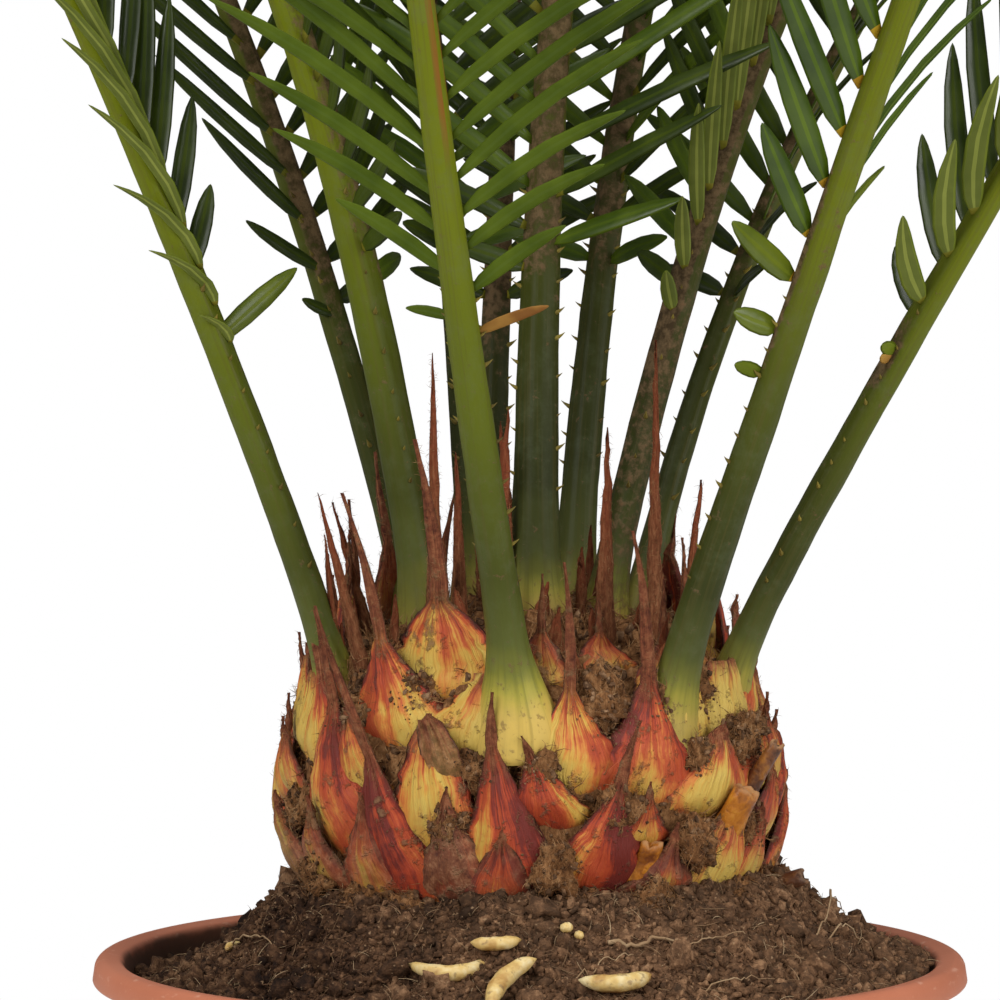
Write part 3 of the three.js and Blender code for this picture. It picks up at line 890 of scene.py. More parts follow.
def husk_yellow():
    paint = Paint("husk_yellow", Roughness=0.55)
    here = paint.here()
    patch = paint.noise(here, 240.0, 3.0)
    dirt = paint.rise(paint.noise(here, 600.0, 3.0), 0.56, 0.68)
    base = paint.ramp(
        patch, (0.35, (0.46, 0.26, 0.07)), (0.5, (0.66, 0.46, 0.16)), (0.65, (0.76, 0.62, 0.33)),
    )
    return paint.feed(
        Base_Color=paint.mix(dirt * 0.55, base, (0.16, 0.08, 0.035)),
        Normal=paint.bump(patch + paint.noise(here, 900.0), 0.5, 0.3),
    )


finish(husk_skin(), "soil", material=husk_yellow())
finish(rootlet_skin(), "soil", material=pale_fibre)
print(len(HUSKS), "husks and", len(ROOTLETS), "rootlets")

# %% [markdown]
# ## The trunk
#
# A cycad's trunk is built of the feet of its old fronds. Under them lies a woolly core, which shows as
# brown felt in every gap. The core is a skin of rings that follow the trunk's outline, and noise gives it
# the look of matted wool.

# %% The woolly core
TRUNK_ROWS = [
    (-4, 44), (3, 46), (12, 48.5), (21, 50.5), (30, 51.5), (39, 51.5), (48, 49.5), (57, 46), (64.5, 41),
    (69, 34), (73, 25), (76, 14), (77.5, 5),
]
CORE_SECTORS, CORE_RINGS = 170, 90


def barrel(height):
    """The trunk's radius under its leaf bases, at a height over the rim."""
    heights, radii = zip(*TRUNK_ROWS)
    return float(np.interp(height, heights, radii))


def core_skin():
    """Rings set close together where the trunk narrows to its crown, with deeper tufts there."""
    wrap = Wrap("cover")
    low, high = TRUNK_ROWS[0][0], TRUNK_ROWS[-1][0]
    for i in range(CORE_RINGS):
        height = low + (high - low) * math.sin(i / (CORE_RINGS - 1) * math.pi / 2)
        crown = clamp((height - 52) / 14)
        radius = barrel(height) - 0.8
        spread = min(radius / 14.0, 1.0)
        for x, y in circle(CORE_SECTORS):
            way = Vector((x, y, 0))
            place = way * radius + Vector((0, 0, height))
            tuft = (1.2 + 1.2 * crown) * rough(place, 8.0, 2.0) + 0.9 * rough(place, 2.8, 6.0, 2)
            rise = Vector((0, 0, RIM + height + (0.5 + crown) * tuft))
            wrap.add(way * (radius + tuft * spread) + rise, cover=1.0 if height > 16 else 0.3)
    wrap.close(CORE_RINGS, CORE_SECTORS)
    return wrap.skin("trunk_core")


def felt(name, dark, middle, light):
    """Matted brown wool with soil rubbed into it."""
    paint = Paint(name, Specular_IOR_Level=0.2)
    here = paint.here()
    mat = paint.noise(here, 210.0, 4.0, 0.65)
    hair = paint.noise(here * (1.0, 1.0, 0.35), 1100.0, 3.0, 0.7)
    base = paint.ramp(mat * 0.5 + hair * 0.5, (0.36, dark), (0.5, middle), (0.66, light))
    return paint.feed(
        Base_Color=base,
        Roughness=0.85 + hair * 0.15,
        Normal=paint.bump(hair * 0.8 + mat, 0.9, 0.8),
    )


brown_felt = felt("brown_felt", (0.045, 0.018, 0.007), (0.185, 0.080, 0.028), (0.38, 0.20, 0.085))
core = core_skin()
finish(core, "trunk", "trunk", material=brown_felt)

# %% [markdown]
# ## Leaf bases
#
# Each old frond leaves a foot like a flame: broad and convex below, drawn in to a neck, and ending in a dry
# point of any length. They could be copies of one blank, but no two on a trunk look alike, so a small
# class shapes each from its own width, height, point and tilt. Each one at the front has a row of its own
# in a table; the rest follow the golden-angle spiral by which the plant itself grows.
#
# Each point of the mesh carries its place across and along the leaf base, how red it has turned and how
# dull, so the streaks of the finish can run up to the neck as the veins of the real one do.

# %% The shape of one leaf base
BODY_ROWS, POINT_ROWS = 16, 8
FRONT_SIDE = [i / 9 for i in range(-9, 10)]
BACK_SIDE = [0.7, 0.0, -0.7]


class LeafBase:
    """One leaf base: where it sits, how large it is and how it has coloured."""

    def __init__(self, azimuth, foot, width, height, point, tilt, red, dull, patch, neck=0.12, shoulder=1.0,
                 lean=None, stand=0.0):
        self.azimuth = azimuth
        self.foot = foot
        self.width = width
        self.height = height
        self.point = point
        self.tilt = tilt
        self.lean = tilt if lean is None else lean
        self.red = red
        self.dull = dull
        self.patch = patch
        self.neck = neck
        self.shoulder = shoulder
        self.stand = stand
        self.seed = (azimuth * 1.37 + foot * 3.1) % 97

    def half_width(self, share):
        """Half the width at a share of the body's height: widest a quarter of the way up, then drawn in."""
        if share < 0.25:
            swell = 0.70 + 0.30 * math.sin(share / 0.25 * math.pi / 2)
        else:
            rest = (share - 0.25) / 0.75
            swell = self.neck + (1 - self.neck) * (1 - rest ** self.shoulder) ** 1.15
        return self.width / 2 * swell

    def bulge(self, share):
        """How far the body stands out of the core."""
        return 2.8 * math.sin(math.pi * share ** 0.75) + 4.4 * share ** 1.5 - 2.2 * (1 - share) ** 3

    def middle(self, share):
        """Sideways, outward and upward place of the middle line; shares over 1 run up the dry point."""
        body = min(share, 1.0)
        up = self.foot + self.height * body
        upright = barrel(self.foot + 5) - 0.24 * self.height * body
        out = max(barrel(up), upright) + self.bulge(body) + self.stand * body ** 1.5
        side = math.tan(math.radians(self.tilt)) * self.height * body ** 1.3
        if share > 1:
            run = (share - 1) * self.point
            sway = 0.12 * math.sin(self.seed * 2.3) * (share - 1)
            side += math.tan(math.radians(self.lean)) * run + sway * run
            out += (0.08 * math.sin(self.seed) + 0.03 * math.cos(self.seed)) * run
            up += run
        return side, out, up

    def ridge(self, across, share):
        """The pleats that run up to the neck."""
        fade = (1 - across ** 2) * min(share * 1.6, 1.0)
        broad = math.sin(across * 10.5 + self.seed)
        return fade * (0.30 * broad + 0.20 * math.sin(across * 19.0 + self.seed * 2.7 + 2.0 * share))

    def section(self, share):
        """The closed ring of points at a share, with each point's place across."""
        side, out, up = self.middle(share)
        body = share <= 1
        if body:
            half = self.half_width(share)
            arch = 0.30 + 0.25 * share
            thick = 1.7 * (1 - 0.4 * share)
        else:
            taper = 1 - (share - 1) ** 1.5
            half = self.width / 2 * self.neck * max(taper, 0.22)
            arch = 0.6
            thick = max(1.3 * taper, 0.4)
        ring = []
        for across in FRONT_SIDE:
            lump = 0.55 * rough((side + across * half, up, self.seed), 6.5, self.seed, 2) * body
            torn = 1 + 0.16 * rough((across * 3, up, self.seed), 2.1, self.seed, 3) * (abs(across) > 0.7)
            fold = self.ridge(across, share) if body else 0.25 * math.sin(up * 1.9 + across * 3 + self.seed)
            ring.append((across, side + across * half * torn, out - arch * across ** 2 * half + fold + lump))
        for across in BACK_SIDE:
            ring.append((across, side + across * half * 0.96, out - arch * across ** 2 * half - thick))
        return up, ring

    def add_to(self, wrap):
        shares = [i / (BODY_ROWS - 1) for i in range(BODY_ROWS)]
        if self.point > 0:
            shares += [1 + (i + 1) / POINT_ROWS for i in range(POINT_ROWS)]
        outward, sideways = facing(self.azimuth)
        for share in shares:
            up, ring = self.section(share)
            for across, side, out in ring:
                patch = math.exp(-((across - self.patch) / 0.5) ** 2 - ((min(share, 1) - 0.35) / 0.42) ** 2)
                red = self.red - 0.6 * patch * min(self.red + 0.25, 1)
                wrap.add(outward * out + sideways * side + above_rim(up), across=across, along=share,
                         red=red, dull=self.dull, sort=self.seed)
        wrap.close(len(shares), len(FRONT_SIDE) + len(BACK_SIDE))


# %% Leaf bases at the front
FRONT_WINDOW = (-170, -8)
# azimuth, foot, width, height, point, tilt, red, dull and place of the yellow patch; then, where they
# aren't the usual ones, neck, shoulder, lean and stand
FRONT_BASES = [
    (-165, 34, 23, 14, 3, -16, 0.35, 0.40, 0.0), (-161, 14, 24, 20, 3, -20, 0.35, 0.75, 0.0),
    (-150, 40, 28, 23, 26, -14, 0.50, 0.05, -0.2, 0.12, 1.2, -22),
    (-139, 24, 30, 33, 20, -12, 0.65, 0.05, -0.55),
    (-119, 13, 25, 34, 32, -15, 1.00, 0.05, 0.65, 0.12, 1.0, -24),
    (-126, 48, 30, 24, 30, -15, 0.55, 0.10, 0.55), (-133, 37, 17, 18, 2, -18, 0.30, 0.15, 0.0),
    (-113, 24, 22, 30, 3, -3, 0.38, 0.20, 0.1, 0.3, 1.8), (-107, 14, 23, 24, 4, -4, 1.05, 0.75, 0.9),
    (-116, 58, 29, 22, 34, -5, 0.30, 0.0, -0.35, 0.16, 1.9, -2),
    (-94, 14, 25, 36, 12, -7, 0.80, 0.05, -0.55, 0.12, 1.0), (-84, 32, 18, 17, 4, -19, 0.80, 0.10, 0.8),
    (-98, 13, 24, 18, 3, 5, 1.05, 0.45, 0.0), (-79, 39, 24, 23, 27, -3, 0.35, 0.05, -0.45, 0.12, 1.3, 2),
    (-60, 36, 29, 27, 32, 2, 0.72, 0.05, -0.15, 0.14, 1.2), (-75, 18, 25, 24, 14, 11, 0.88, 0.05, -0.7),
    (-66, 64, 16, 9, 7, 0, 0.50, 0.35, 0.0), (-41, 33, 29, 17, 4, 5, 0.32, 0.20, -0.2, 0.3, 1.7),
    (-43, 13, 30, 20, 5, 12, 0.18, 0.10, -0.3, 0.3, 1.8), (-17, 24, 26, 18, 4, -8, 0.50, 0.25, 0.0),
    (-23, 35, 26, 17, 4, 8, 0.52, 0.25, 0.1), (-65, 27, 19, 12, 4, 7, 0.60, 0.25, 0.0),
    (-58, 14, 24, 16, 4, 4, 0.95, 0.55, 0.0), (-150, 14, 24, 20, 4, 6, 0.60, 0.65, 0.0),
    (-88, 60, 18, 14, 12, 3, 0.45, 0.45, 0.0), (-28, 14, 24, 18, 4, 4, 0.55, 0.45, 0.0),
    (-160, 52, 22, 18, 12, -8, 0.30, 0.15, 0.2), (-12, 48, 22, 18, 3, 6, 0.50, 0.30, 0.0),
    (-109, 40, 10, 16, 0, -14, 0.10, 1.30, 0.0, 0.5, 2.0, -14, 5),
    (-30, 62, 18, 14, 16, 6, 0.50, 0.50, 0.0), (-130, 14, 24, 22, 4, 0, 0.8, 0.6, 0.0),
    (-48, 60, 17, 12, 12, 4, 0.50, 0.45, 0.0), (-10, 34, 24, 18, 6, 4, 0.45, 0.35, 0.0),
]
# The yellow feet of the fronds that stand at the front: no dry point, and a neck as wide as the stalk.
FROND_FEET = [
    (-98, 46, 35, 19, 0, 1, 0.04, 0.0, 0.0, 0.40, 2.0, 1, -3),
    (-50, 47, 24, 19, 0, 2, 0.0, 0.15, 0.0, 0.55, 2.0), (-27, 47, 23, 19, 0, 3, 0.02, 0.30, 0.0, 0.55, 2.0),
    (-163, 43, 18, 20, 0, 0, 0.0, 0.0, 0.0, 0.6, 2.0),
]

# %% Leaf bases round the rest
SPIRAL_COUNT, LOWEST_FOOT, FOOT_CLIMB = 116, 11, 52
GOLDEN_ANGLE = 137.508
SHORT_POINTS = (-10, 45)


def spiral_bases():
    draw = random.Random(11)
    bases = []
    for i in range(SPIRAL_COUNT):
        azimuth = (i * GOLDEN_ANGLE + 180) % 360 - 180
        foot = LOWEST_FOOT + FOOT_CLIMB * i / (SPIRAL_COUNT - 1)
        width = draw.uniform(23, 28)
        height = draw.uniform(20, 28)
        point = draw.choice([3, 4, 6, 8, 12, 20])
        tilt = draw.uniform(-12, 12)
        red = draw.choice([0.15, 0.35, 0.5, 0.65, 0.8, 1.0])
        dull = draw.choice([0.0, 0.05, 0.15, 0.3, 0.6])
        patch = draw.uniform(-0.6, 0.6)
        if SHORT_POINTS[0] < azimuth < SHORT_POINTS[1]:
            point = min(point, 5)
        if not FRONT_WINDOW[0] < azimuth < FRONT_WINDOW[1]:
            bases.append(LeafBase(azimuth, foot, width, height, point, tilt, red, dull, patch))
    return bases


bases = [LeafBase(*facts) for facts in FRONT_BASES + FROND_FEET] + spiral_bases()
wrap = Wrap("across", "along", "red", "dull", "sort")
for base in bases:
    base.add_to(wrap)
armour = wrap.skin("leaf_bases")
print(len(bases), "leaf bases")

# %% [markdown]
# The finish of a leaf base is the loudest colour on the plant: a waxy yellow that reddens along its veins,
# deep red at the rim, and brown wool where it narrows to the point. The veins are noise stretched along the
# leaf base. It is cheaper than an image and follows each base, because it reads the `across` and `along` of
# the mesh.


# %% Waxy leaf base
def waxy_base():
    paint = Paint("waxy_leaf_base", Specular_IOR_Level=0.22)
    here = paint.here()
    across, along = paint.attribute("across"), paint.attribute("along")
    red, dull, sort = paint.attribute("red"), paint.attribute("dull"), paint.attribute("sort")
    wander = paint.noise(here, 110.0, 2.0) - 0.5
    streak = paint.noise(paint.axes(across * 4.5 + wander * 2.4, along * 0.9, sort), 1.0, 3.0, 0.65)
    fine = paint.noise(paint.axes(across * 26.0 + wander * 5.0, along * 1.6, sort), 1.0, 2.0, 0.6)
    blotch = paint.noise(here, 85.0, 4.0, 0.62)
    mottle = paint.noise(here, 420.0, 4.0, 0.7)
    high = paint.rise(along, 0.15, 0.85)
    edge = paint.rise(across * across + (blotch - 0.5) * 0.5, 0.50, 1.0)
    ripe = (red + 0.06 + (streak - 0.5) * (0.9 + high * 0.9) + (fine - 0.5) * (0.15 + high * 0.7)
            + (blotch - 0.5) * 1.3 + (mottle - 0.5) * 0.3 + edge * (0.25 + high * 0.5) + high * 0.14)
    base = paint.ramp(
        ripe, (0.0, (0.58, 0.40, 0.085)), (0.22, (0.58, 0.33, 0.060)), (0.40, (0.58, 0.200, 0.042)),
        (0.58, (0.46, 0.085, 0.026)), (0.82, (0.38, 0.052, 0.020)), (1.0, (0.16, 0.024, 0.017)),
    )
    wear = paint.rise(dull + (blotch - 0.5) * 1.1 + (fine - 0.5) * 0.4, 0.12, 0.95)
    worn = paint.ramp(
        mottle, (0.36, (0.085, 0.034, 0.018)), (0.50, (0.22, 0.090, 0.042)), (0.64, (0.42, 0.22, 0.11)),
    )
    base = paint.mix(wear * 0.85, base, worn)
    vein = paint.rise(fine, 0.56, 0.66) * paint.rise(along, 0.25, 0.8)
    base = paint.mix(vein * 0.45, base, (0.17, 0.030, 0.014))
    dry = paint.rise(along + (streak - 0.5) * 0.5, 0.80, 1.06)
    hide = paint.ramp(
        fine * 0.45 + mottle * 0.55, (0.38, (0.075, 0.020, 0.010)), (0.5, (0.22, 0.062, 0.026)),
        (0.64, (0.40, 0.17, 0.075)),
    )
    base = paint.mix(dry, base, hide)
    rim = paint.rise(across * across + (mottle - 0.5) * 1.1, 0.72, 1.0)
    base = paint.mix(rim * (0.45 + high * 0.45), base, (0.070, 0.024, 0.012))
    low = 1.0 - paint.rise(paint.split(here, 2) + blotch * 12.0 * MM, (RIM + 18) * MM, (RIM + 28) * MM)
    dirt = paint.noise(here, 150.0, 5.0, 0.75) * 0.5 + mottle * 0.5
    grime = paint.rise(dirt + low * 0.10 + edge * 0.05 + (wander * 0.12), 0.535, 0.63)
    mud = paint.ramp(mottle, (0.4, (0.055, 0.026, 0.012)), (0.62, (0.21, 0.115, 0.055)))
    base = paint.mix(grime * 0.8, base, mud)
    return paint.feed(
        Base_Color=base,
        Roughness=0.40 + dry * 0.35 + grime * 0.35 + blotch * 0.12,
        Normal=paint.bump(streak * 0.8 + fine * 1.0 + grime * 1.2 + mottle * (0.3 + dry), 0.7, 0.7),
    )


finish(armour, "trunk", material=waxy_base())

# %% [markdown]
# ## Scale leaves, stubs and wool
#
# Between the fronds stand narrow dry scale leaves, red-brown and woolly. Each is one long thin tube of
# rings, frayed by noise. Cut stubs of old stalks stick out low down, and loose wool and crumbs sit in the
# gaps between it all.

# %% Scale leaves
# azimuth, radius, length, lean outward in degrees, as the solids have them
SCALE_LEAVES = [
    (-132, 30, 66, 1), (-104, 25, 52, 2), (-61, 31, 51, 5), (-32, 31, 69, 1), (-18, 34, 40, 6),
    (-150, 40, 42, 16), (-112, 36, 20, 8), (-82, 33, 14, 8), (-48, 40, 16, 9), (20, 38, 20, 16),
    (62, 36, 34, 18), (96, 26, 34, 12), (124, 38, 38, 18), (170, 34, 34, 16), (165, 10, 30, 4),
    (250, 14, 46, 4), (330, 12, 18, 5), (30, 14, 22, 6), (86, 32, 40, 6),
]
# those that stand between them
MORE_SCALE_LEAVES = [(-147, 18, 40, 0), (-161, 43, 36, 6), (-142, 23, 24, 4)]
LEAF_SIDES = [-1.0, -0.6, -0.2, 0.2, 0.6, 1.0]


def crown_height(radius):
    """Height of the core's crown over the rim at a distance from the axis."""
    rows = [row for row in TRUNK_ROWS if row[0] >= 39]
    return float(np.interp(-radius, [-r for _, r in rows], [z for z, _ in rows]))


def scale_leaf(wrap, azimuth, radius, length, lean, number, width=4.6, rows=22):
    """A narrow thick dry leaf that stands on the crown, uneven all the way up."""
    outward, side = facing(azimuth)
    foot = outward * radius + Vector((0, 0, RIM + crown_height(radius) - 5))
    ring = [(across, 1.0) for across in LEAF_SIDES] + [(across, -1.0) for across in (0.6, 0.0, -0.6)]
    for i in range(rows):
        share = i / (rows - 1)
        bend = 1.8 * math.sin(number * 1.9) * share ** 2
        bend += 0.5 * rough((share * length, number, 0), 7.0, number, 2)
        slant = outward * (math.tan(math.radians(lean)) * length * share)
        middle = foot + Vector((0, 0, length * share)) + slant + side * bend
        half = width / 2 * (1 - share ** 1.4) ** 0.85 * (1 + 0.35 * math.exp(-((share / 0.25) ** 2))) + 0.12
        for across, face in ring:
            pleat = 0.12 * math.sin(across * 7 + number) * (face > 0)
            out = half * (0.55 * face * (1 - 0.8 * across ** 2) + pleat)
            fray = 0.3 * rough((across * 4, share * length / 1.5, number), 1.6, number, 2)
            wrap.add(middle + side * (across * half + fray) + outward * (out + fray),
                     across=across, along=share, sort=number * 3.7)
    wrap.close(rows, len(ring))


def small_scale_leaves():
    """Short ones all round, so that the crown is full from every side."""
    draw = random.Random(29)
    return [(i * GOLDEN_ANGLE, 14 + 28 * math.sqrt(i / 25), draw.uniform(9, 19), draw.uniform(0, 12))
            for i in range(26)]


wrap = Wrap("across", "along", "sort")
for number, facts in enumerate(SCALE_LEAVES + MORE_SCALE_LEAVES + small_scale_leaves()):
    scale_leaf(wrap, *facts, number)
scale_leaves = wrap.skin("scale_leaves")


def dry_scale():
    paint = Paint("dry_scale_leaf", Specular_IOR_Level=0.15)
    here = paint.here()
    along, sort = paint.attribute("along"), paint.attribute("sort")
    vein = paint.noise(paint.axes(paint.attribute("across") * 4.0, along * 5.0, sort), 1.0, 4.0, 0.7)
    hair = paint.noise(here * (1.0, 1.0, 0.4), 1300.0, 3.0, 0.7)
    base = paint.ramp(
        vein * 0.5 + hair * 0.5, (0.34, (0.065, 0.020, 0.009)), (0.48, (0.180, 0.060, 0.024)),
        (0.60, (0.30, 0.125, 0.055)), (0.74, (0.44, 0.25, 0.13)),
    )
    return paint.feed(
        Base_Color=paint.mix(paint.rise(along, 0.25, 0.8) * 0.55, base, (0.26, 0.052, 0.020)),
        Roughness=0.75 + hair * 0.2,
        Normal=paint.bump(vein + hair * 0.8, 0.9, 0.7),
    )


finish(scale_leaves, "trunk", material=dry_scale())

# %% Cut stubs
STUBS = [
    # azimuth, height, radius, length, lean from upright and how amber it is
    (-27, 36, 2.5, 15, 34, 0.25), (-38, 27, 4.4, 15, 32, 1.0), (-62, 22, 3.4, 9, 30, 0.9),
    (-12, 14, 3.2, 13, 70, 0.1), (78, 30, 4, 13, 45, 0.5), (150, 34, 4, 12, 40, 0.4),
]


STUB_SIDES = 14
# share of the length and of the radius for each ring, from the foot over the torn edge into the hollow end
STUB_RINGS = [
    (-0.3, 1.35), (0.0, 1.2), (0.3, 0.95), (0.6, 0.78), (0.85, 0.76), (1.0, 0.72), (1.02, 0.5), (0.95, 0.3),
    (0.92, 0.04),
]


def stub_skin():
    wrap = Wrap("along", "sort", "amber")
    for number, (azimuth, height, radius, length, lean, amber) in enumerate(STUBS):
        slant = math.radians(lean)
        outward, side = facing(azimuth)
        way = outward * math.sin(slant) + Vector((0, 0, math.cos(slant)))
        over = side.cross(way)
        foot = outward * (barrel(height) - 1) + above_rim(height)
        for share, size in STUB_RINGS:
            for j in range(STUB_SIDES):
                turn = math.tau * j / STUB_SIDES
                x, y = math.cos(turn), math.sin(turn)
                torn = 1.3 * rough((x * 3, y * 3, number), 2.0, number, 2) * (share > 0.9)
                reach = radius * size * (1 + 0.10 * math.sin(2 * turn + number))
                wrap.add(foot + way * (length * share + torn) + side * (reach * x) + over * (reach * 0.8 * y),
                         along=share, sort=number * 2.9, amber=amber)
        wrap.close(len(STUB_RINGS), STUB_SIDES, inside_out=True)
    return wrap.skin("cut_stubs")


def horny_stub():
    paint = Paint("horny_stub", Specular_IOR_Level=0.3)
    here = paint.here()
    along = paint.attribute("along")
    vein = paint.noise(paint.axes(paint.attribute("sort"), paint.noise(here, 260.0) * 3.0, along), 2.0)
    patch = paint.noise(here, 200.0, 3.0)
    base = paint.ramp(
        patch * 0.6 + vein * 0.4, (0.36, (0.15, 0.040, 0.008)), (0.5, (0.44, 0.150, 0.014)),
        (0.66, (0.58, 0.26, 0.030)),
    )
    bark = paint.ramp(patch * 0.5 + vein * 0.5, (0.38, (0.045, 0.018, 0.009)), (0.6, (0.17, 0.062, 0.025)))
    horn = paint.rise(paint.attribute("amber") + (along - 0.6) * 0.35 + (patch - 0.5) * 1.4, 0.2, 0.7)
    base = paint.mix(horn, bark, base)
    torn = paint.rise(along + (patch - 0.5) * 0.4, 0.93, 1.04)
    base = paint.mix(torn * 0.6, base, (0.36, 0.22, 0.12))
    return paint.feed(Base_Color=base, Roughness=0.4 + torn * 0.35, Normal=paint.bump(vein + patch, 0.6, 0.6))


finish(stub_skin(), "trunk", material=horny_stub())

# %% Clumps in the gaps
# Clumps of wool and soil caught between the leaf bases: azimuth, height, spread and how far they stand out
CAUGHT = [
    (-104, 45, 3.6, 3), (-93, 66, 4.5, 2), (-88, 46, 3.4, 5), (-85, 25, 4.6, 5), (-69, 37, 4.4, 4),
    (-50, 29, 4.6, 6), (-72, 59, 5.5, 4), (-40, 60, 4.5, 4), (-55, 58, 4.0, 4), (-28, 50, 5.0, 5),
    (-150, 20, 5.0, 4), (-134, 16, 4.0, 5), (-122, 60, 4.0, 3), (20, 40, 6.0, 4), (75, 50, 6.0, 3),
    (130, 35, 6.0, 4), (175, 55, 5.0, 3), (50, 25, 6.0, 4), (100, 24, 6.0, 4), (-61, 17, 4.4, 7),
    (-108, 34, 3.6, 5), (-30, 30, 4.0, 4), (-18, 16, 4.6, 5), (-142, 57, 4.0, 3), (-160, 34, 4.0, 4),
    (-78, 14, 4.4, 6), (-47, 47, 3.4, 4), (-120, 15, 3.6, 6), (-36, 16, 4.0, 6),
]
CLUMP_RINGS, CLUMP_SIDES = 14, 20


def clump_skin():
    """Each clump is a flattened ball, squeezed and torn by noise."""
    wrap = Wrap("cover")
    for number, (azimuth, level, spread, stand) in enumerate(CAUGHT):
        outward, side = facing(azimuth)
        middle = outward * (barrel(level) + stand - 2.5) + above_rim(level)
        for i in range(CLUMP_RINGS):
            turn = math.pi * (i + 0.35) / (CLUMP_RINGS - 0.3)
            for x, y in circle(CLUMP_SIDES):
                ball = Vector((math.sin(turn) * x, math.sin(turn) * y, -math.cos(turn)))
                size = spread * (1.05 + 0.85 * rough(ball * 8, 6.0, number, 3))
                rise = Vector((0, 0, ball.z * size * 0.95))
                wrap.add(middle + side * (ball.x * size) + outward * (ball.y * size * 0.55) + rise, cover=1.0)
        wrap.close(CLUMP_RINGS, CLUMP_SIDES, inside_out=True)
    return wrap.skin("caught_clumps")


clumps = clump_skin()
finish(clumps, "trunk", material=brown_felt)

# %% Wool and crumbs over it all
FOOT_SOIL = 20.0
MEAN_RADIUS = 50.0
BARELY = 0.12


def caught_soil(place):
    """How thickly soil lies on the armour at a place: by the clumps, and along the trunk's foot."""
    height = place.z / MM - RIM
    azimuth = math.degrees(math.atan2(place.y, place.x))
    most = 0.5 * clamp((FOOT_SOIL - height) / 5.0)
    for turn, level, spread, _ in CAUGHT:
        round_it = math.radians((azimuth - turn + 180) % 360 - 180) * MEAN_RADIUS
        far = (round_it ** 2 + (height - level) ** 2) / (2 * (spread * 0.75) ** 2)
        most = max(most, 0.8 * math.exp(-far))
    return most ** 1.7 if most > BARELY else 0.0


def cover(piece, values):
    """Sets how thickly the next scatter covers each point of a piece."""
    layer = piece.data.attributes.get("cover") or piece.data.attributes.new("cover", "FLOAT", "POINT")
    layer.data.foreach_set("value", np.asarray(values, float))


def stored(piece, name):
    values = np.empty(len(piece.data.vertices))
    piece.data.attributes[name].data.foreach_get("value", values)
    return values


wool_fibre = felt("wool_fibre", (0.080, 0.031, 0.012), (0.25, 0.115, 0.042), (0.50, 0.31, 0.15))
blanks["hair"] = strand("hair", 4.0, 0.26, 1.6, 2)
rims = np.abs(stored(armour, "across"))
shares = stored(armour, "along")
cover(armour, np.clip((rims - 0.72) / 0.28, 0, 1) * np.clip(shares * 2 - 0.4, 0, 1) + 0.8 * (shares > 0.85))
cover(scale_leaves, np.ones(len(scale_leaves.data.vertices)))
WOOL_LAYERS = {
    # as in CRUMB_LAYERS
    "trunk_wool": (core, "hair", 560000.0, 0.3, 1.5, 0.9),
    "clump_wool": (clumps, "hair", 1700000.0, 0.3, 0.95, 0.8),
    "rim_wool": (armour, "hair", 900000.0, 0.3, 0.45, 0.7),
    "scale_wool": (scale_leaves, "hair", 1000000.0, 0.3, 0.42, 0.5),
}
scatter_layers(WOOL_LAYERS, "trunk", wool_fibre, 31)

caught_dust = peat(
    "caught_dust", (0.022, 0.010, 0.005), (0.070, 0.033, 0.015), (0.150, 0.078, 0.037), (0.32, 0.19, 0.10),
)
cover(armour, [caught_soil(vertex.co) for vertex in armour.data.vertices])
CAUGHT_LAYERS = {
    "trunk_crumbs": (core, "crumb", 60000.0, 0.6, 2.4, 3.0),
    "clump_crumbs": (clumps, "crumb", 420000.0, 0.3, 1.5, 3.0),
    "caught_crumbs": (armour, "crumb", 200000.0, 0.4, 1.5, 3.0),
    "caught_grit": (armour, "grain", 1300000.0, 0.35, 1.0, 3.0),
}
scatter_layers(CAUGHT_LAYERS, "trunk", caught_dust, 71)
drop(*blanks.values())

# %% [markdown]
# ## Fronds
#
# A frond is a stalk that stands nearly upright on the trunk, swings out and arches over, with leaflets in
# two ranks. The same law that shaped the solids is written again here: lean and direction change with the
# distance along the stalk. From it come the stalk's skin, the places of the prickles and of every leaflet.

# %% The law of a frond
# foot x, y and height over the rim; azimuth and lean from upright at foot and tip; length; half width;
# then how fresh the stalk's green is, how bright its foot, and how woolly its face
FRONDS = [
    ((-40, -13, 50), (196, 201), (20.8, 44.6), 450, 4.2, 0.72, 0.8, 0.15),
    ((-25, 24, 64), (160, 154), (16.8, 62), 450, 4.0, 0.20, 0.15, 0.75),
    ((-21.8, -4, 64), (183, 175), (9.9, 76), 440, 5.3, 0.55, 0.15, 0.50),
    ((-2.6, -43, 50), (-121, -87), (20.6, 69.4), 440, 4.6, 0.62, 1.0, 0.0),
    ((1.3, -14, 66), (100, 43), (10, 53.6), 440, 5.5, 0.0, 0.8, 0.68),
    ((9.5, 20, 68), (77, 43), (13.8, 68), 450, 4.6, 0.05, 0.15, 0.62),
    ((15, 2, 64), (7, 9), (13.6, 79), 450, 4.4, 0.06, 1.0, 2.00),
    ((24, 26, 64), (58, -1), (23, 81), 440, 3.7, 0.12, 0.15, 0.60),
    ((28, -33, 48), (-32, -66), (23, 49), 450, 5.0, 0.12, 0.6, 0.25),
    ((40.6, -10, 50), (-12, -19), (29.3, 44), 450, 4.1, 0.30, 0.6, 0.20),
    ((-9, 37, 60), (87, 78), (14.5, 66), 440, 4.0, 0.0, 0.3, 1.00),
    ((-12, 12, 70), (130, 118), (6, 52), 430, 3.8, 0.0, 0.3, 1.00),
]
FRONT_FROND = -121
FOOT_BEND, UPRIGHT_SHARE, ARCH_POWER, TURN_POWER = 14.0, 0.75, 1.8, 0.6


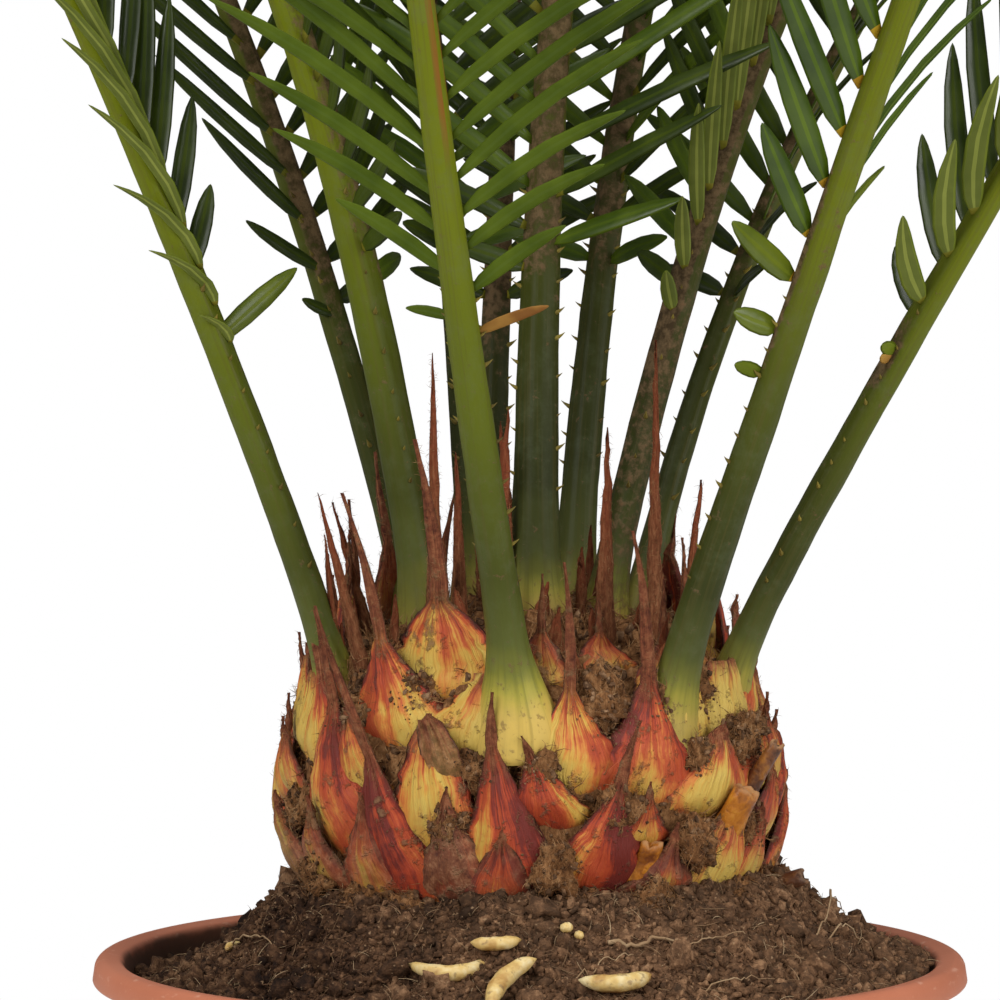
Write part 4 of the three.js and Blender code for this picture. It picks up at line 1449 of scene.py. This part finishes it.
class Stalk:
    """The middle line of one frond, with its own directions at every distance."""

    def __init__(self, foot, azimuth, lean, length, half, fresh, bright, woolly, steps=150):
        self.length = length
        self.half = half
        self.flare = 1.3 if azimuth[0] == FRONT_FROND else 0.62
        self.fresh = fresh
        self.bright = bright
        self.woolly = woolly
        self.steps = steps
        share = np.linspace(0, 1, steps + 1)
        swing = 1 - UPRIGHT_SHARE * np.exp(-share * length / FOOT_BEND)
        tilt = np.radians(lean[0] + (lean[1] - lean[0]) * share ** ARCH_POWER) * swing
        turn = np.radians(azimuth[0] + (azimuth[1] - azimuth[0]) * share ** TURN_POWER)
        self.along = np.stack([np.sin(tilt) * np.cos(turn), np.sin(tilt) * np.sin(turn), np.cos(tilt)], 1)
        self.inward = np.stack([-np.cos(tilt) * np.cos(turn), -np.cos(tilt) * np.sin(turn), np.sin(tilt)], 1)
        self.across = np.cross(self.inward, self.along)
        start = np.array([foot[0], foot[1], RIM + foot[2]])
        strides = self.along[:-1] * (length / steps)
        self.place = start + np.vstack([np.zeros(3), np.cumsum(strides, 0)])

    def at(self, distance):
        """Place, direction along, direction towards the plant's axis and direction across."""
        spot = clamp(distance / self.length * self.steps, 0, self.steps)
        i = min(int(spot), self.steps - 1)
        rest = spot - i
        parts = (self.place, self.along, self.inward, self.across)
        return [Vector(part[i] * (1 - rest) + part[i + 1] * rest) for part in parts]

    def width_at(self, distance):
        """Half the stalk's width: flared at the foot, tapering to the tip."""
        taper = self.half + (0.8 - self.half) * (distance / self.length) ** 0.8
        return taper * (1 + self.flare * math.exp(-((distance / 14.0) ** 2)))


stalks = [Stalk(*facts) for facts in FRONDS]
print(len(stalks), "stalks, the highest tip at", round(max(s.place[-1][2] for s in stalks)), "mm")

# %% [markdown]
# The stalk is round on its back and flatter on the face, where a low keel runs between two grooves. A
# bevelled curve would make a round rod, so the sections are written out instead, 16 points each.

# %% Stalk skins
STALK_SIDES = 16
STALK_STATIONS = 96
RUST_STREAK = {3: 0.8}
# how much fresher a stalk's green is beyond the bare stretch
FRESHER = {2: 0.35, 4: 0.3, 8: 0.3, 9: 0.25}
# woolly patches: the frond, the middle and the length of the patch, and how far it reaches round the stalk
WOOLLY_PATCHES = [
    (8, 112.0, 24.0, 1.1), (9, 88.0, 9.0, 1.0), (2, 118.0, 26.0, 0.35), (8, 11.0, 6.0, 1.1),
    (9, 9.0, 5.0, 1.1), (3, 1.0, 5.0, 1.1),
]


def stalk_section(keel):
    """Across and up for each point of the section; up is towards the plant's axis."""
    ring = []
    for x, y in circle(STALK_SIDES):
        if y > 0:
            ridge = math.exp(-((x / 0.3) ** 2)) - 0.35 * math.exp(-((abs(x) - 0.62) / 0.22) ** 2)
            y = 0.80 * y + keel * ridge
        ring.append((x, 0.97 * y))
    return ring


def woolliness(number, distance, across):
    """What the woolly patches add at a place on a stalk."""
    return sum(math.exp(-((distance - middle) / reach) ** 2) * (across < side)
               for frond, middle, reach, side in WOOLLY_PATCHES if frond == number)


def stalk_skin():
    wrap = Wrap("along", "face", "round", "rust", "fresh", "bright", "woolly")
    for number, stalk in enumerate(stalks):
        for i in range(STALK_STATIONS):
            share = i / (STALK_STATIONS - 1)
            distance = stalk.length * share ** 1.25 - 2.5 * (1 - share) ** 8
            place, along, inward, across = stalk.at(distance)
            place = place + along * min(distance, 0)
            half = stalk.width_at(max(distance, 0)) if i < STALK_STATIONS - 1 else 0.25
            keel = 0.10 + 0.16 * clamp((distance - 40) / 60)
            rust = RUST_STREAK.get(number, 0) * clamp((distance - 132) / 12)
            later = FRESHER.get(number, 0.0) * clamp((distance - 45) / 75)
            for j, (x, y) in enumerate(stalk_section(keel)):
                knot = 0.10 * rough((j * 2, distance / 4, number * 7), 3.0, number, 2)
                swell = 1 + knot * 0.5
                wrap.add(
                    place + across * (x * half * swell) + inward * (y * half * swell),
                    along=distance, face=y, round=x, rust=rust * (x > 0.5), fresh=stalk.fresh + later,
                    bright=stalk.bright, woolly=stalk.woolly + woolliness(number, distance, x),
                )
        wrap.close(STALK_STATIONS, STALK_SIDES)
    return wrap.skin("frond_stalks")


def stalk_green():
    """Yellow at the foot, then dark bluish green, then fresher green where the leaflets start."""
    paint = Paint("stalk_green", Specular_IOR_Level=0.14)
    here = paint.here()
    along, face, fresh = paint.attribute("along"), paint.attribute("face"), paint.attribute("fresh")
    cloud = paint.noise(here, 60.0, 3.0)
    streak = paint.noise(paint.axes(paint.attribute("round") * 5.0, face * 5.0, along * 0.018), 1.0, 3.0)
    reach = paint.rise(along + (cloud - 0.5) * 14.0, -4.0, 190.0)
    deep = paint.ramp(
        reach, (0.0, (0.20, 0.165, 0.032)), (0.018, (0.15, 0.140, 0.026)), (0.05, (0.062, 0.070, 0.016)),
        (0.12, (0.028, 0.033, 0.006)), (0.45, (0.036, 0.040, 0.006)), (1.0, (0.056, 0.062, 0.008)),
    )
    lime = paint.ramp(
        reach, (0.0, (0.23, 0.190, 0.034)), (0.018, (0.19, 0.175, 0.030)), (0.05, (0.10, 0.112, 0.020)),
        (0.12, (0.068, 0.078, 0.009)), (0.35, (0.096, 0.116, 0.006)), (0.7, (0.132, 0.156, 0.003)),
        (1.0, (0.145, 0.170, 0.002)),
    )
    # Painted light: the stalk's back, turned out towards the soft boxes, takes more of the lime green than its
    # face.
    back = 1.0 - paint.rise(face, -0.55, 0.45)
    base = paint.mix(fresh * (back * paint.rise(along, 15.0, 115.0) * 1.1 + 1.0), deep, lime)
    foot = 1.0 - paint.rise(along + (cloud - 0.5) * 10.0 + (streak - 0.5) * 6.0, 6.0, 25.0)
    pale = paint.ramp(
        foot, (0.35, (0.19, 0.20, 0.026)), (0.7, (0.42, 0.36, 0.050)), (1.0, (0.54, 0.37, 0.085)),
    )
    base = paint.mix(foot * paint.attribute("bright"), base, pale)
    base = paint.mix(paint.rise(streak, 0.48, 0.72) * 0.35, base, (0.090, 0.070, 0.018))
    grain = paint.noise(here, 420.0, 4.0, 0.7)
    # Pale bluish spots of painted sheen over the green.
    sheen_spots = paint.rise(paint.noise(here, 130.0, 4.0, 0.7) * 0.6 + grain * 0.4, 0.46, 0.66)
    base = paint.mix(sheen_spots * 0.16, base, (0.125, 0.150, 0.080))
    inner = paint.rise(face, -0.35, 0.35) * paint.rise(along, 55.0, 105.0)
    wool = paint.attribute("woolly") * (inner * 0.75 + 0.25) + (grain - 0.5) * 1.1 + (cloud - 0.5) * 0.5
    wool = paint.rise(wool, 0.38, 0.72)
    brown = paint.ramp(grain, (0.4, (0.050, 0.028, 0.014)), (0.6, (0.150, 0.092, 0.046)))
    base = paint.mix(wool * 0.85, base, brown)
    scurf = paint.rise(grain + paint.rise(along * -1.0, -26.0, -6.0) * 0.05, 0.62, 0.70)
    base = paint.mix(scurf * 0.55, base, (0.15, 0.085, 0.042))
    base = paint.mix(paint.attribute("rust") * paint.rise(streak, 0.42, 0.58), base, (0.25, 0.080, 0.014))
    return paint.feed(
        Base_Color=base,
        Roughness=0.40 + scurf * 0.3 + wool * 0.35 + cloud * 0.12,
        Normal=paint.bump(
            streak * 0.7 + scurf * 0.5 + wool * grain + paint.noise(here, 700.0) * 0.3, 0.4, 0.4,
        ),
    )


finish(stalk_skin(), "frond", *FROND_NODES, material=stalk_green())

# %% [markdown]
# ## Leaflets
#
# Some nine hundred leaflets hang on the fronds, so one blank with few faces is made and Geometry Nodes
# copies it. Its faces are numbered by kind: glossy top, pale back, midrib, rolled margin, and the yellow
# callus at the foot. Each point of the host mesh says which way its leaflet runs and which way it faces.
# After the copies are realized, every leaflet is bent by its own amount, and each kind of face gets its
# finish.

# %% The blank of a leaflet
TOP, BACK, VEIN, MARGIN, CALLUS = range(5)
LEAFLET_STATIONS = [
    (0.0, 0.34), (0.05, 0.52), (0.14, 0.84), (0.32, 1.0), (0.57, 0.98), (0.78, 0.78), (0.91, 0.47),
    (0.98, 0.18),
]
# across, up and, for the strip from this point to the next, its kind
LEAFLET_SECTION = [
    (-0.50, -0.20, MARGIN), (-0.43, 0.16, TOP), (-0.08, 0.06, VEIN), (0.08, 0.06, TOP),
    (0.43, 0.16, MARGIN), (0.50, -0.20, MARGIN), (0.38, -0.36, BACK), (0.09, -0.34, VEIN),
    (-0.09, -0.34, BACK), (-0.38, -0.36, MARGIN),
]


def leaflet_blank():
    """A leaflet of unit length along Y, unit width and unit thickness."""
    points, faces, kinds, length = [], [], [], []
    sides = len(LEAFLET_SECTION)
    for share, width in LEAFLET_STATIONS:
        for x, z, _ in LEAFLET_SECTION:
            points.append((x * width, share, z * (0.5 + 0.5 * width)))
            length.append(share)
    points.append((0, 1, 0))
    length.append(1.0)
    for i in range(len(LEAFLET_STATIONS)):
        for j in range(sides):
            k = (j + 1) % sides
            kind = CALLUS if i == 0 else LEAFLET_SECTION[j][2]
            if i + 1 < len(LEAFLET_STATIONS):
                faces.append((i * sides + k, i * sides + j, (i + 1) * sides + j, (i + 1) * sides + k))
            else:
                faces.append((i * sides + k, i * sides + j, len(points) - 1))
            kinds.append(kind)
    faces.append(tuple(range(sides)))
    kinds.append(CALLUS)
    blank = skin("leaflet_blank", np.asarray(points) / MM, faces, length=length)
    blank.data.attributes.new("kind", "INT", "FACE").data.foreach_set("value", kinds)
    return blank


leaflet = leaflet_blank()
print("leaflet blank of", len(leaflet.data.polygons), "faces")

# %% The habits of the leaflets
LONGEST, THICKNESS = 88.0, 1.3
CURL_REACH = 15.0
# how far a leaflet stays from the middle of another frond's stalk, the lengths that are tried for it, and
# the places along it that are tested
CLEAR = 7.2
CUTS = (1.0, 0.8, 0.6, 0.42)
TESTED = (0.3, 0.5, 0.7, 0.85, 1.0)
DARK, MIDDLE, FRESH, STRIPED, DRY, LUSH = range(6)
# How a rank of leaflets grows: where along the stalk it starts and at what spacing, the length of the first
# and the stretch in which they reach full length, the angle to the stalk and by how much it closes towards
# the tip and opens at the first ones, the lift out of the frond's plane, the bends, the width and the tone.
PLAIN = {
    "start": 84.0, "pitch": 9.4, "first": 18.0, "growth": 40.0, "angle": 56.0, "closing": 26.0, "flare": 18.0,
    "lift": 34.0, "droop": -0.16, "sweep": -0.05, "curl": 0.0, "width": 4.6, "tone": None, "faces": None,
}
# Ranks that lie in shade get the DARK tone, whose darkness is partly painted shade.
HABITS = {
    # (frond, hand): what differs in that rank; hand 1 is the side that across points to
    (0, 1): {"start": 88, "pitch": 8.8, "first": 9, "growth": 68, "angle": 10, "closing": 5, "flare": 6, "lift": 40,
             "curl": 0.72, "droop": 0.0, "sweep": 0.0, "width": 3.0, "tone": STRIPED, "faces": (0, 1, 0)},
    (0, -1): {"start": 105, "pitch": 9.4, "first": 20, "growth": 48, "angle": 36, "closing": 16, "flare": 8,
              "lift": 62, "droop": 0.0, "sweep": 0.02, "tone": DARK, "faces": (0, -1, 0)},
    (1, 1): {"start": 77, "pitch": 10.6, "first": 9, "growth": 60, "angle": 40, "closing": 10, "flare": 20,
             "lift": -25, "droop": 0.0, "sweep": 0.06, "width": 3.4, "tone": DARK, "faces": (0, -0.9, 0.4)},
    (1, -1): {"start": 80, "first": 12, "tone": DARK},
    (2, 1): {"start": 90, "first": 22, "tone": DARK},
    (3, 1): {"start": 102, "pitch": 8.6, "first": 26, "growth": 46, "angle": 50, "closing": 20, "flare": 0,
             "lift": 12, "droop": -0.24, "sweep": -0.08, "width": 3.7, "tone": FRESH, "faces": (0, 1, 0.45)},
    (3, -1): {"start": 106, "pitch": 9.0, "first": 26, "growth": 42, "angle": 49, "closing": 20, "flare": 2,
              "lift": 12, "droop": -0.24, "sweep": -0.08, "width": 3.7, "tone": FRESH, "faces": (0, 1, 0.45)},
    (4, -1): {"start": 90, "pitch": 10.5, "first": 33, "growth": 40, "angle": 68, "closing": 30, "flare": 6,
              "lift": 26, "droop": -0.08, "sweep": 0.02, "width": 5.0, "faces": (0.2, -0.8, 0.6)},
    (6, -1): {"start": 78, "pitch": 9.2, "first": 14, "growth": 60, "angle": 42, "flare": 14, "sweep": 0.08,
              "width": 3.6, "tone": STRIPED, "faces": (0, 1, 0)},
    (8, -1): {"start": 96, "pitch": 11.0, "first": 11, "growth": 70, "angle": 42, "closing": 14, "flare": 40,
              "lift": 14, "droop": -0.05, "sweep": 0.04, "width": 5.5, "tone": MIDDLE, "faces": (0.1, -1, 0.2)},
    (8, 1): {"start": 104, "pitch": 10, "first": 13, "growth": 46, "angle": 46, "flare": 10, "tone": MIDDLE},
    (9, -1): {"start": 103, "pitch": 11.4, "first": 20, "growth": 150, "angle": 38, "closing": 14, "flare": 26,
              "lift": 52, "sweep": 0.34, "droop": 0.0, "width": 5.2, "tone": STRIPED, "faces": (0, 1, 0)},
    (9, 1): {"start": 100, "pitch": 10.5, "first": 17, "growth": 52, "angle": 48, "closing": 20, "flare": 12,
             "lift": 66, "sweep": 0.10, "droop": 0.0, "width": 5.0, "tone": DARK, "faces": (0, -1, 0)},
}
LONE_LEAFLETS = [
    # frond, hand, distance, length, width, angle, lift, tone
    (3, 1, 92.5, 17.0, 2.5, 66, 10, DRY), (3, -1, 96.0, 9.8, 2.6, 76, 10, FRESH),
    (0, -1, 80.0, 6.0, 3.2, 70, 40, DARK), (0, -1, 89.0, 25.0, 4.8, 72, 84, MIDDLE),
    (9, -1, 91.0, 6.0, 3.4, 82, 30, MIDDLE), (9, -1, 89.0, 3.5, 2.8, 86, 34, DRY),
    (8, -1, 85.5, 8.6, 3.4, 72, 14, MIDDLE),
]


# %% The places of the leaflets
def leaflet_at(stalk, hand, distance, length, angle, lift, habit, spread=0.0):
    """One leaflet's foot, direction, upper side, bends, length and width."""
    place, along, inward, across = stalk.at(distance)
    out = across * (hand * math.cos(math.radians(lift))) + inward * math.sin(math.radians(lift))
    way = (out * math.sin(math.radians(angle)) + along * math.cos(math.radians(angle))).normalized()
    broad = (along - way * along.dot(way)).normalized()
    upper = broad.cross(way).normalized() * hand
    if habit["faces"]:
        upper = Vector(habit["faces"])
        upper = (upper - way * upper.dot(way)).normalized()
    half = stalk.width_at(distance)
    foot = place + across * (hand * half * 0.72) + inward * (half * (0.35 + 0.5 * habit["curl"]))
    curl = min(habit["curl"], CURL_REACH / length)
    bow = upper * (habit["droop"] + spread) + broad * (habit["sweep"] + 0.4 * spread) - inward * curl
    return {"foot": foot, "way": way, "upper": upper, "bow": bow, "length": length, "width": habit["width"]}


def leaflet_plan():
    draw = random.Random(7)
    plan = []
    for number, stalk in enumerate(stalks):
        for hand in (1, -1):
            habit = {**PLAIN, **HABITS.get((number, hand), {})}
            leafy = stalk.length - habit["start"]
            for i in range(int((leafy - 2) / habit["pitch"])):
                past = max(habit["pitch"] * i + draw.uniform(-0.9, 0.9), 0.0)
                share = past / leafy
                grown = habit["first"] + (LONGEST - habit["first"]) * (1 - math.exp(-past / habit["growth"]))
                length = grown * (1 - 0.7 * share ** 2.4) * draw.uniform(0.94, 1.03)
                angle = (habit["angle"] - habit["closing"] * share
                         + habit["flare"] * math.exp(-((past / 14.0) ** 2)) + draw.uniform(-2.5, 2.5))
                lift = habit["lift"] - 14 * share + draw.uniform(-4, 4)
                leaf = leaflet_at(stalk, hand, habit["start"] + past, length, angle, lift, habit,
                                  draw.uniform(-0.04, 0.04))
                leaf["width"] *= min(0.7 + length / 50, 1.0) * (1 - 0.25 * share ** 2)
                tone = draw.choice((DARK, DARK, FRESH)) if habit["tone"] is None else habit["tone"]
                plan.append({**leaf, "stalk": number, "tone": LUSH if tone == MIDDLE and i > 1 else tone})
    for number, hand, distance, length, width, angle, lift, tone in LONE_LEAFLETS:
        leaf = leaflet_at(stalks[number], hand, distance, length, angle, lift, {**PLAIN, "width": width})
        plan.append({**leaf, "stalk": number, "tone": tone})
    return plan


def kept_clear(plan):
    """Shortens or leaves out a leaflet that would run into another frond's stalk."""
    fixed = kdtree.KDTree(sum(len(stalk.place) for stalk in stalks))
    for number, stalk in enumerate(stalks):
        for place in stalk.place:
            fixed.insert(Vector(place), number)
    fixed.balance()
    kept = []
    for leaf in plan:
        for cut in CUTS:
            length = leaf["length"] * cut
            spots = [leaf["foot"] + leaf["way"] * (length * share) + leaf["bow"] * (length * share * share)
                     for share in TESTED]
            near = (hit for spot in spots for hit in fixed.find_range(spot, CLEAR))
            if all(index == leaf["stalk"] for _, index, _ in near):
                kept.append({**leaf, "length": length})
                break
    return kept


plan = kept_clear(leaflet_plan())
print(len(plan), "leaflets")


# %% Leaf finishes
def leaf_green(name, light, dark, gloss, coat, specular=0.15):
    """A leaf finish: plain green with a faint unevenness, glossy on top."""
    paint = Paint(name, Coat_Weight=coat, Coat_Roughness=0.25, Specular_IOR_Level=specular)
    patch = paint.noise(paint.here(), 90.0, 3.0)
    return paint.feed(
        Base_Color=paint.ramp(patch, (0.35, dark), (0.65, light)),
        Roughness=gloss + patch * 0.15,
        Normal=paint.bump(paint.noise(paint.here(), 600.0, 2.0), 0.15, 0.3),
    )


LEAF_FINISHES = {
    # tone: top, back, vein, margin, each as light and dark
    # DARK: the dark glossy green of the leaflets, darkened further as painted shade.
    DARK: (((0.036, 0.056, 0.003), (0.016, 0.028, 0.001)), ((0.054, 0.076, 0.006), (0.034, 0.052, 0.003)),
           ((0.050, 0.072, 0.003), (0.032, 0.050, 0.002)), ((0.030, 0.045, 0.002), (0.018, 0.028, 0.001))),
    MIDDLE: (((0.110, 0.140, 0.006), (0.056, 0.082, 0.002)), ((0.135, 0.170, 0.012), (0.085, 0.115, 0.006)),
             ((0.130, 0.160, 0.008), (0.088, 0.115, 0.004)), ((0.080, 0.105, 0.004), (0.048, 0.066, 0.001))),
    FRESH: (((0.066, 0.102, 0.005), (0.036, 0.064, 0.002)), ((0.084, 0.122, 0.008), (0.052, 0.082, 0.004)),
            ((0.084, 0.124, 0.008), (0.052, 0.084, 0.004)), ((0.084, 0.122, 0.006), (0.050, 0.078, 0.002))),
    LUSH: (((0.050, 0.086, 0.001), (0.024, 0.048, 0.000)), ((0.060, 0.098, 0.008), (0.034, 0.062, 0.004)),
           ((0.100, 0.150, 0.014), (0.064, 0.106, 0.006)), ((0.060, 0.100, 0.003), (0.032, 0.060, 0.001))),
    STRIPED: (((0.088, 0.112, 0.012), (0.052, 0.070, 0.006)), ((0.130, 0.152, 0.028), (0.090, 0.110, 0.018)),
              ((0.235, 0.260, 0.050), (0.175, 0.200, 0.030)), ((0.150, 0.180, 0.020), (0.100, 0.128, 0.010))),
}
callus_finish = leaf_green("leaflet_callus", (0.20, 0.17, 0.016), (0.12, 0.12, 0.010), 0.5, 0.0)
collar_finish = leaf_green("leaflet_collar", (0.46, 0.30, 0.018), (0.34, 0.17, 0.012), 0.45, 0.0)
dry_leaf_finish = leaf_green("dry_leaflet", (0.38, 0.21, 0.042), (0.20, 0.080, 0.016), 0.55, 0.0)


def leaf_finishes():
    """(tone, kind) to material."""
    made = {}
    for tone, (top, back, vein, margin) in LEAF_FINISHES.items():
        made[tone, TOP] = leaf_green(f"leaflet_top_{tone}", *top, 0.27, 0.08, 0.34)
        made[tone, BACK] = leaf_green(f"leaflet_back_{tone}", *back, 0.55, 0.0, 0.1)
        made[tone, VEIN] = leaf_green(f"leaflet_vein_{tone}", *vein, 0.38, 0.0)
        made[tone, MARGIN] = leaf_green(f"leaflet_margin_{tone}", *margin, 0.40, 0.0)
        collars = {FRESH: made[tone, VEIN], MIDDLE: collar_finish, LUSH: collar_finish}
        made[tone, CALLUS] = collars.get(tone, callus_finish)
    for kind in (TOP, BACK, VEIN, MARGIN, CALLUS):
        made[DRY, kind] = dry_leaf_finish
    return made


# %% Hanging the leaflets
def leaflet_tree(finishes):
    tree = Tree("hang_leaflets", Blank="Object")
    flat = tree.hung()
    bent = tree.node("GeometryNodeSetPosition", {}, {
        0: flat, "Offset": tree.named("bow", "FLOAT_VECTOR") * (tree.named("length") ** 2.0),
    })
    for (tone, kind), material in finishes.items():
        right_tone = tree.node("FunctionNodeCompare", {"data_type": "FLOAT", "operation": "EQUAL"}, {
            "A": tree.named("tone"), "B": float(tone),
        })
        right_kind = tree.node("FunctionNodeCompare", {"data_type": "INT", "operation": "EQUAL"}, {
            "A": tree.named("kind", "INT"), "B": kind,
        })
        both = tree.node("FunctionNodeBooleanMath", {"operation": "AND"}, {0: right_tone, 1: right_kind})
        bent = tree.node("GeometryNodeSetMaterial", {}, {0: bent, "Selection": both, "Material": material})
    return tree.close(bent)


def hanging_points(name, plan):
    return skin(
        name, [leaf["foot"] for leaf in plan], [],
        way=[leaf["way"] for leaf in plan], upper=[leaf["upper"] for leaf in plan],
        bow=[leaf["bow"] * leaf["length"] * MM for leaf in plan],
        stretch=[(leaf["width"] * MM, leaf["length"] * MM, THICKNESS * MM) for leaf in plan],
        tone=[float(leaf["tone"]) for leaf in plan],
    )


host = hanging_points("leaflet_points", plan)
leaflets = grow("frond_leaflets", host, leaflet_tree(leaf_finishes()), Blank=leaflet)
finish(leaflets, "frond")
drop(host, leaflet)

# %% [markdown]
# ## Prickles
#
# Below the first leaflets the stalk's two edges carry short prickles, the last trace of leaflets that never
# grew. They repeat along a path, so they are a blank on waiting points again.


# %% Prickles on the stalks
PRICKLES_FROM, PRICKLES_TO = 34, 106.0


def prickle_blank():
    """A short hooked cone of unit length along Y."""
    rings = [(-0.25, 0.34, 0.0), (0.15, 0.24, 0.0), (0.6, 0.12, 0.05), (1.0, 0.02, 0.16)]
    points = [(radius * x, y, radius * z + hook) for y, radius, hook in rings for x, z in circle(6)]
    return skin("prickle_blank", np.asarray(points) / MM, tube_faces(len(rings), 6, inside_out=True))


def prickle_points():
    draw = random.Random(17)
    feet, ways, uppers, sizes = [], [], [], []
    for stalk in stalks:
        for hand in (1, -1):
            distance = PRICKLES_FROM + draw.uniform(0, 6)
            while distance < PRICKLES_TO:
                place, along, inward, across = stalk.at(distance)
                half = stalk.width_at(distance)
                feet.append(place + across * (hand * half * 0.93) + inward * (half * 0.22))
                ways.append((across * hand + along * 0.45 + inward * 0.25).normalized())
                uppers.append(along)
                size = draw.uniform(1.1, 2.1)
                sizes.append((size * MM, size * 1.15 * MM, size * MM))
                distance += draw.uniform(5.5, 9.5)
    return skin("prickle_points", feet, [], way=ways, upper=uppers, stretch=sizes)


def prickle_tree():
    tree = Tree("set_prickles", Blank="Object", Finish="Material")
    return tree.close_finished(tree.hung())


thorn = prickle_blank()
thorn_host = prickle_points()
prickle_finish = leaf_green("prickle_horn", (0.26, 0.20, 0.035), (0.10, 0.07, 0.018), 0.45, 0.0)
prickles = grow("frond_prickles", thorn_host, prickle_tree(), Blank=thorn, Finish=prickle_finish)
finish(prickles, "frond")
drop(thorn, thorn_host)
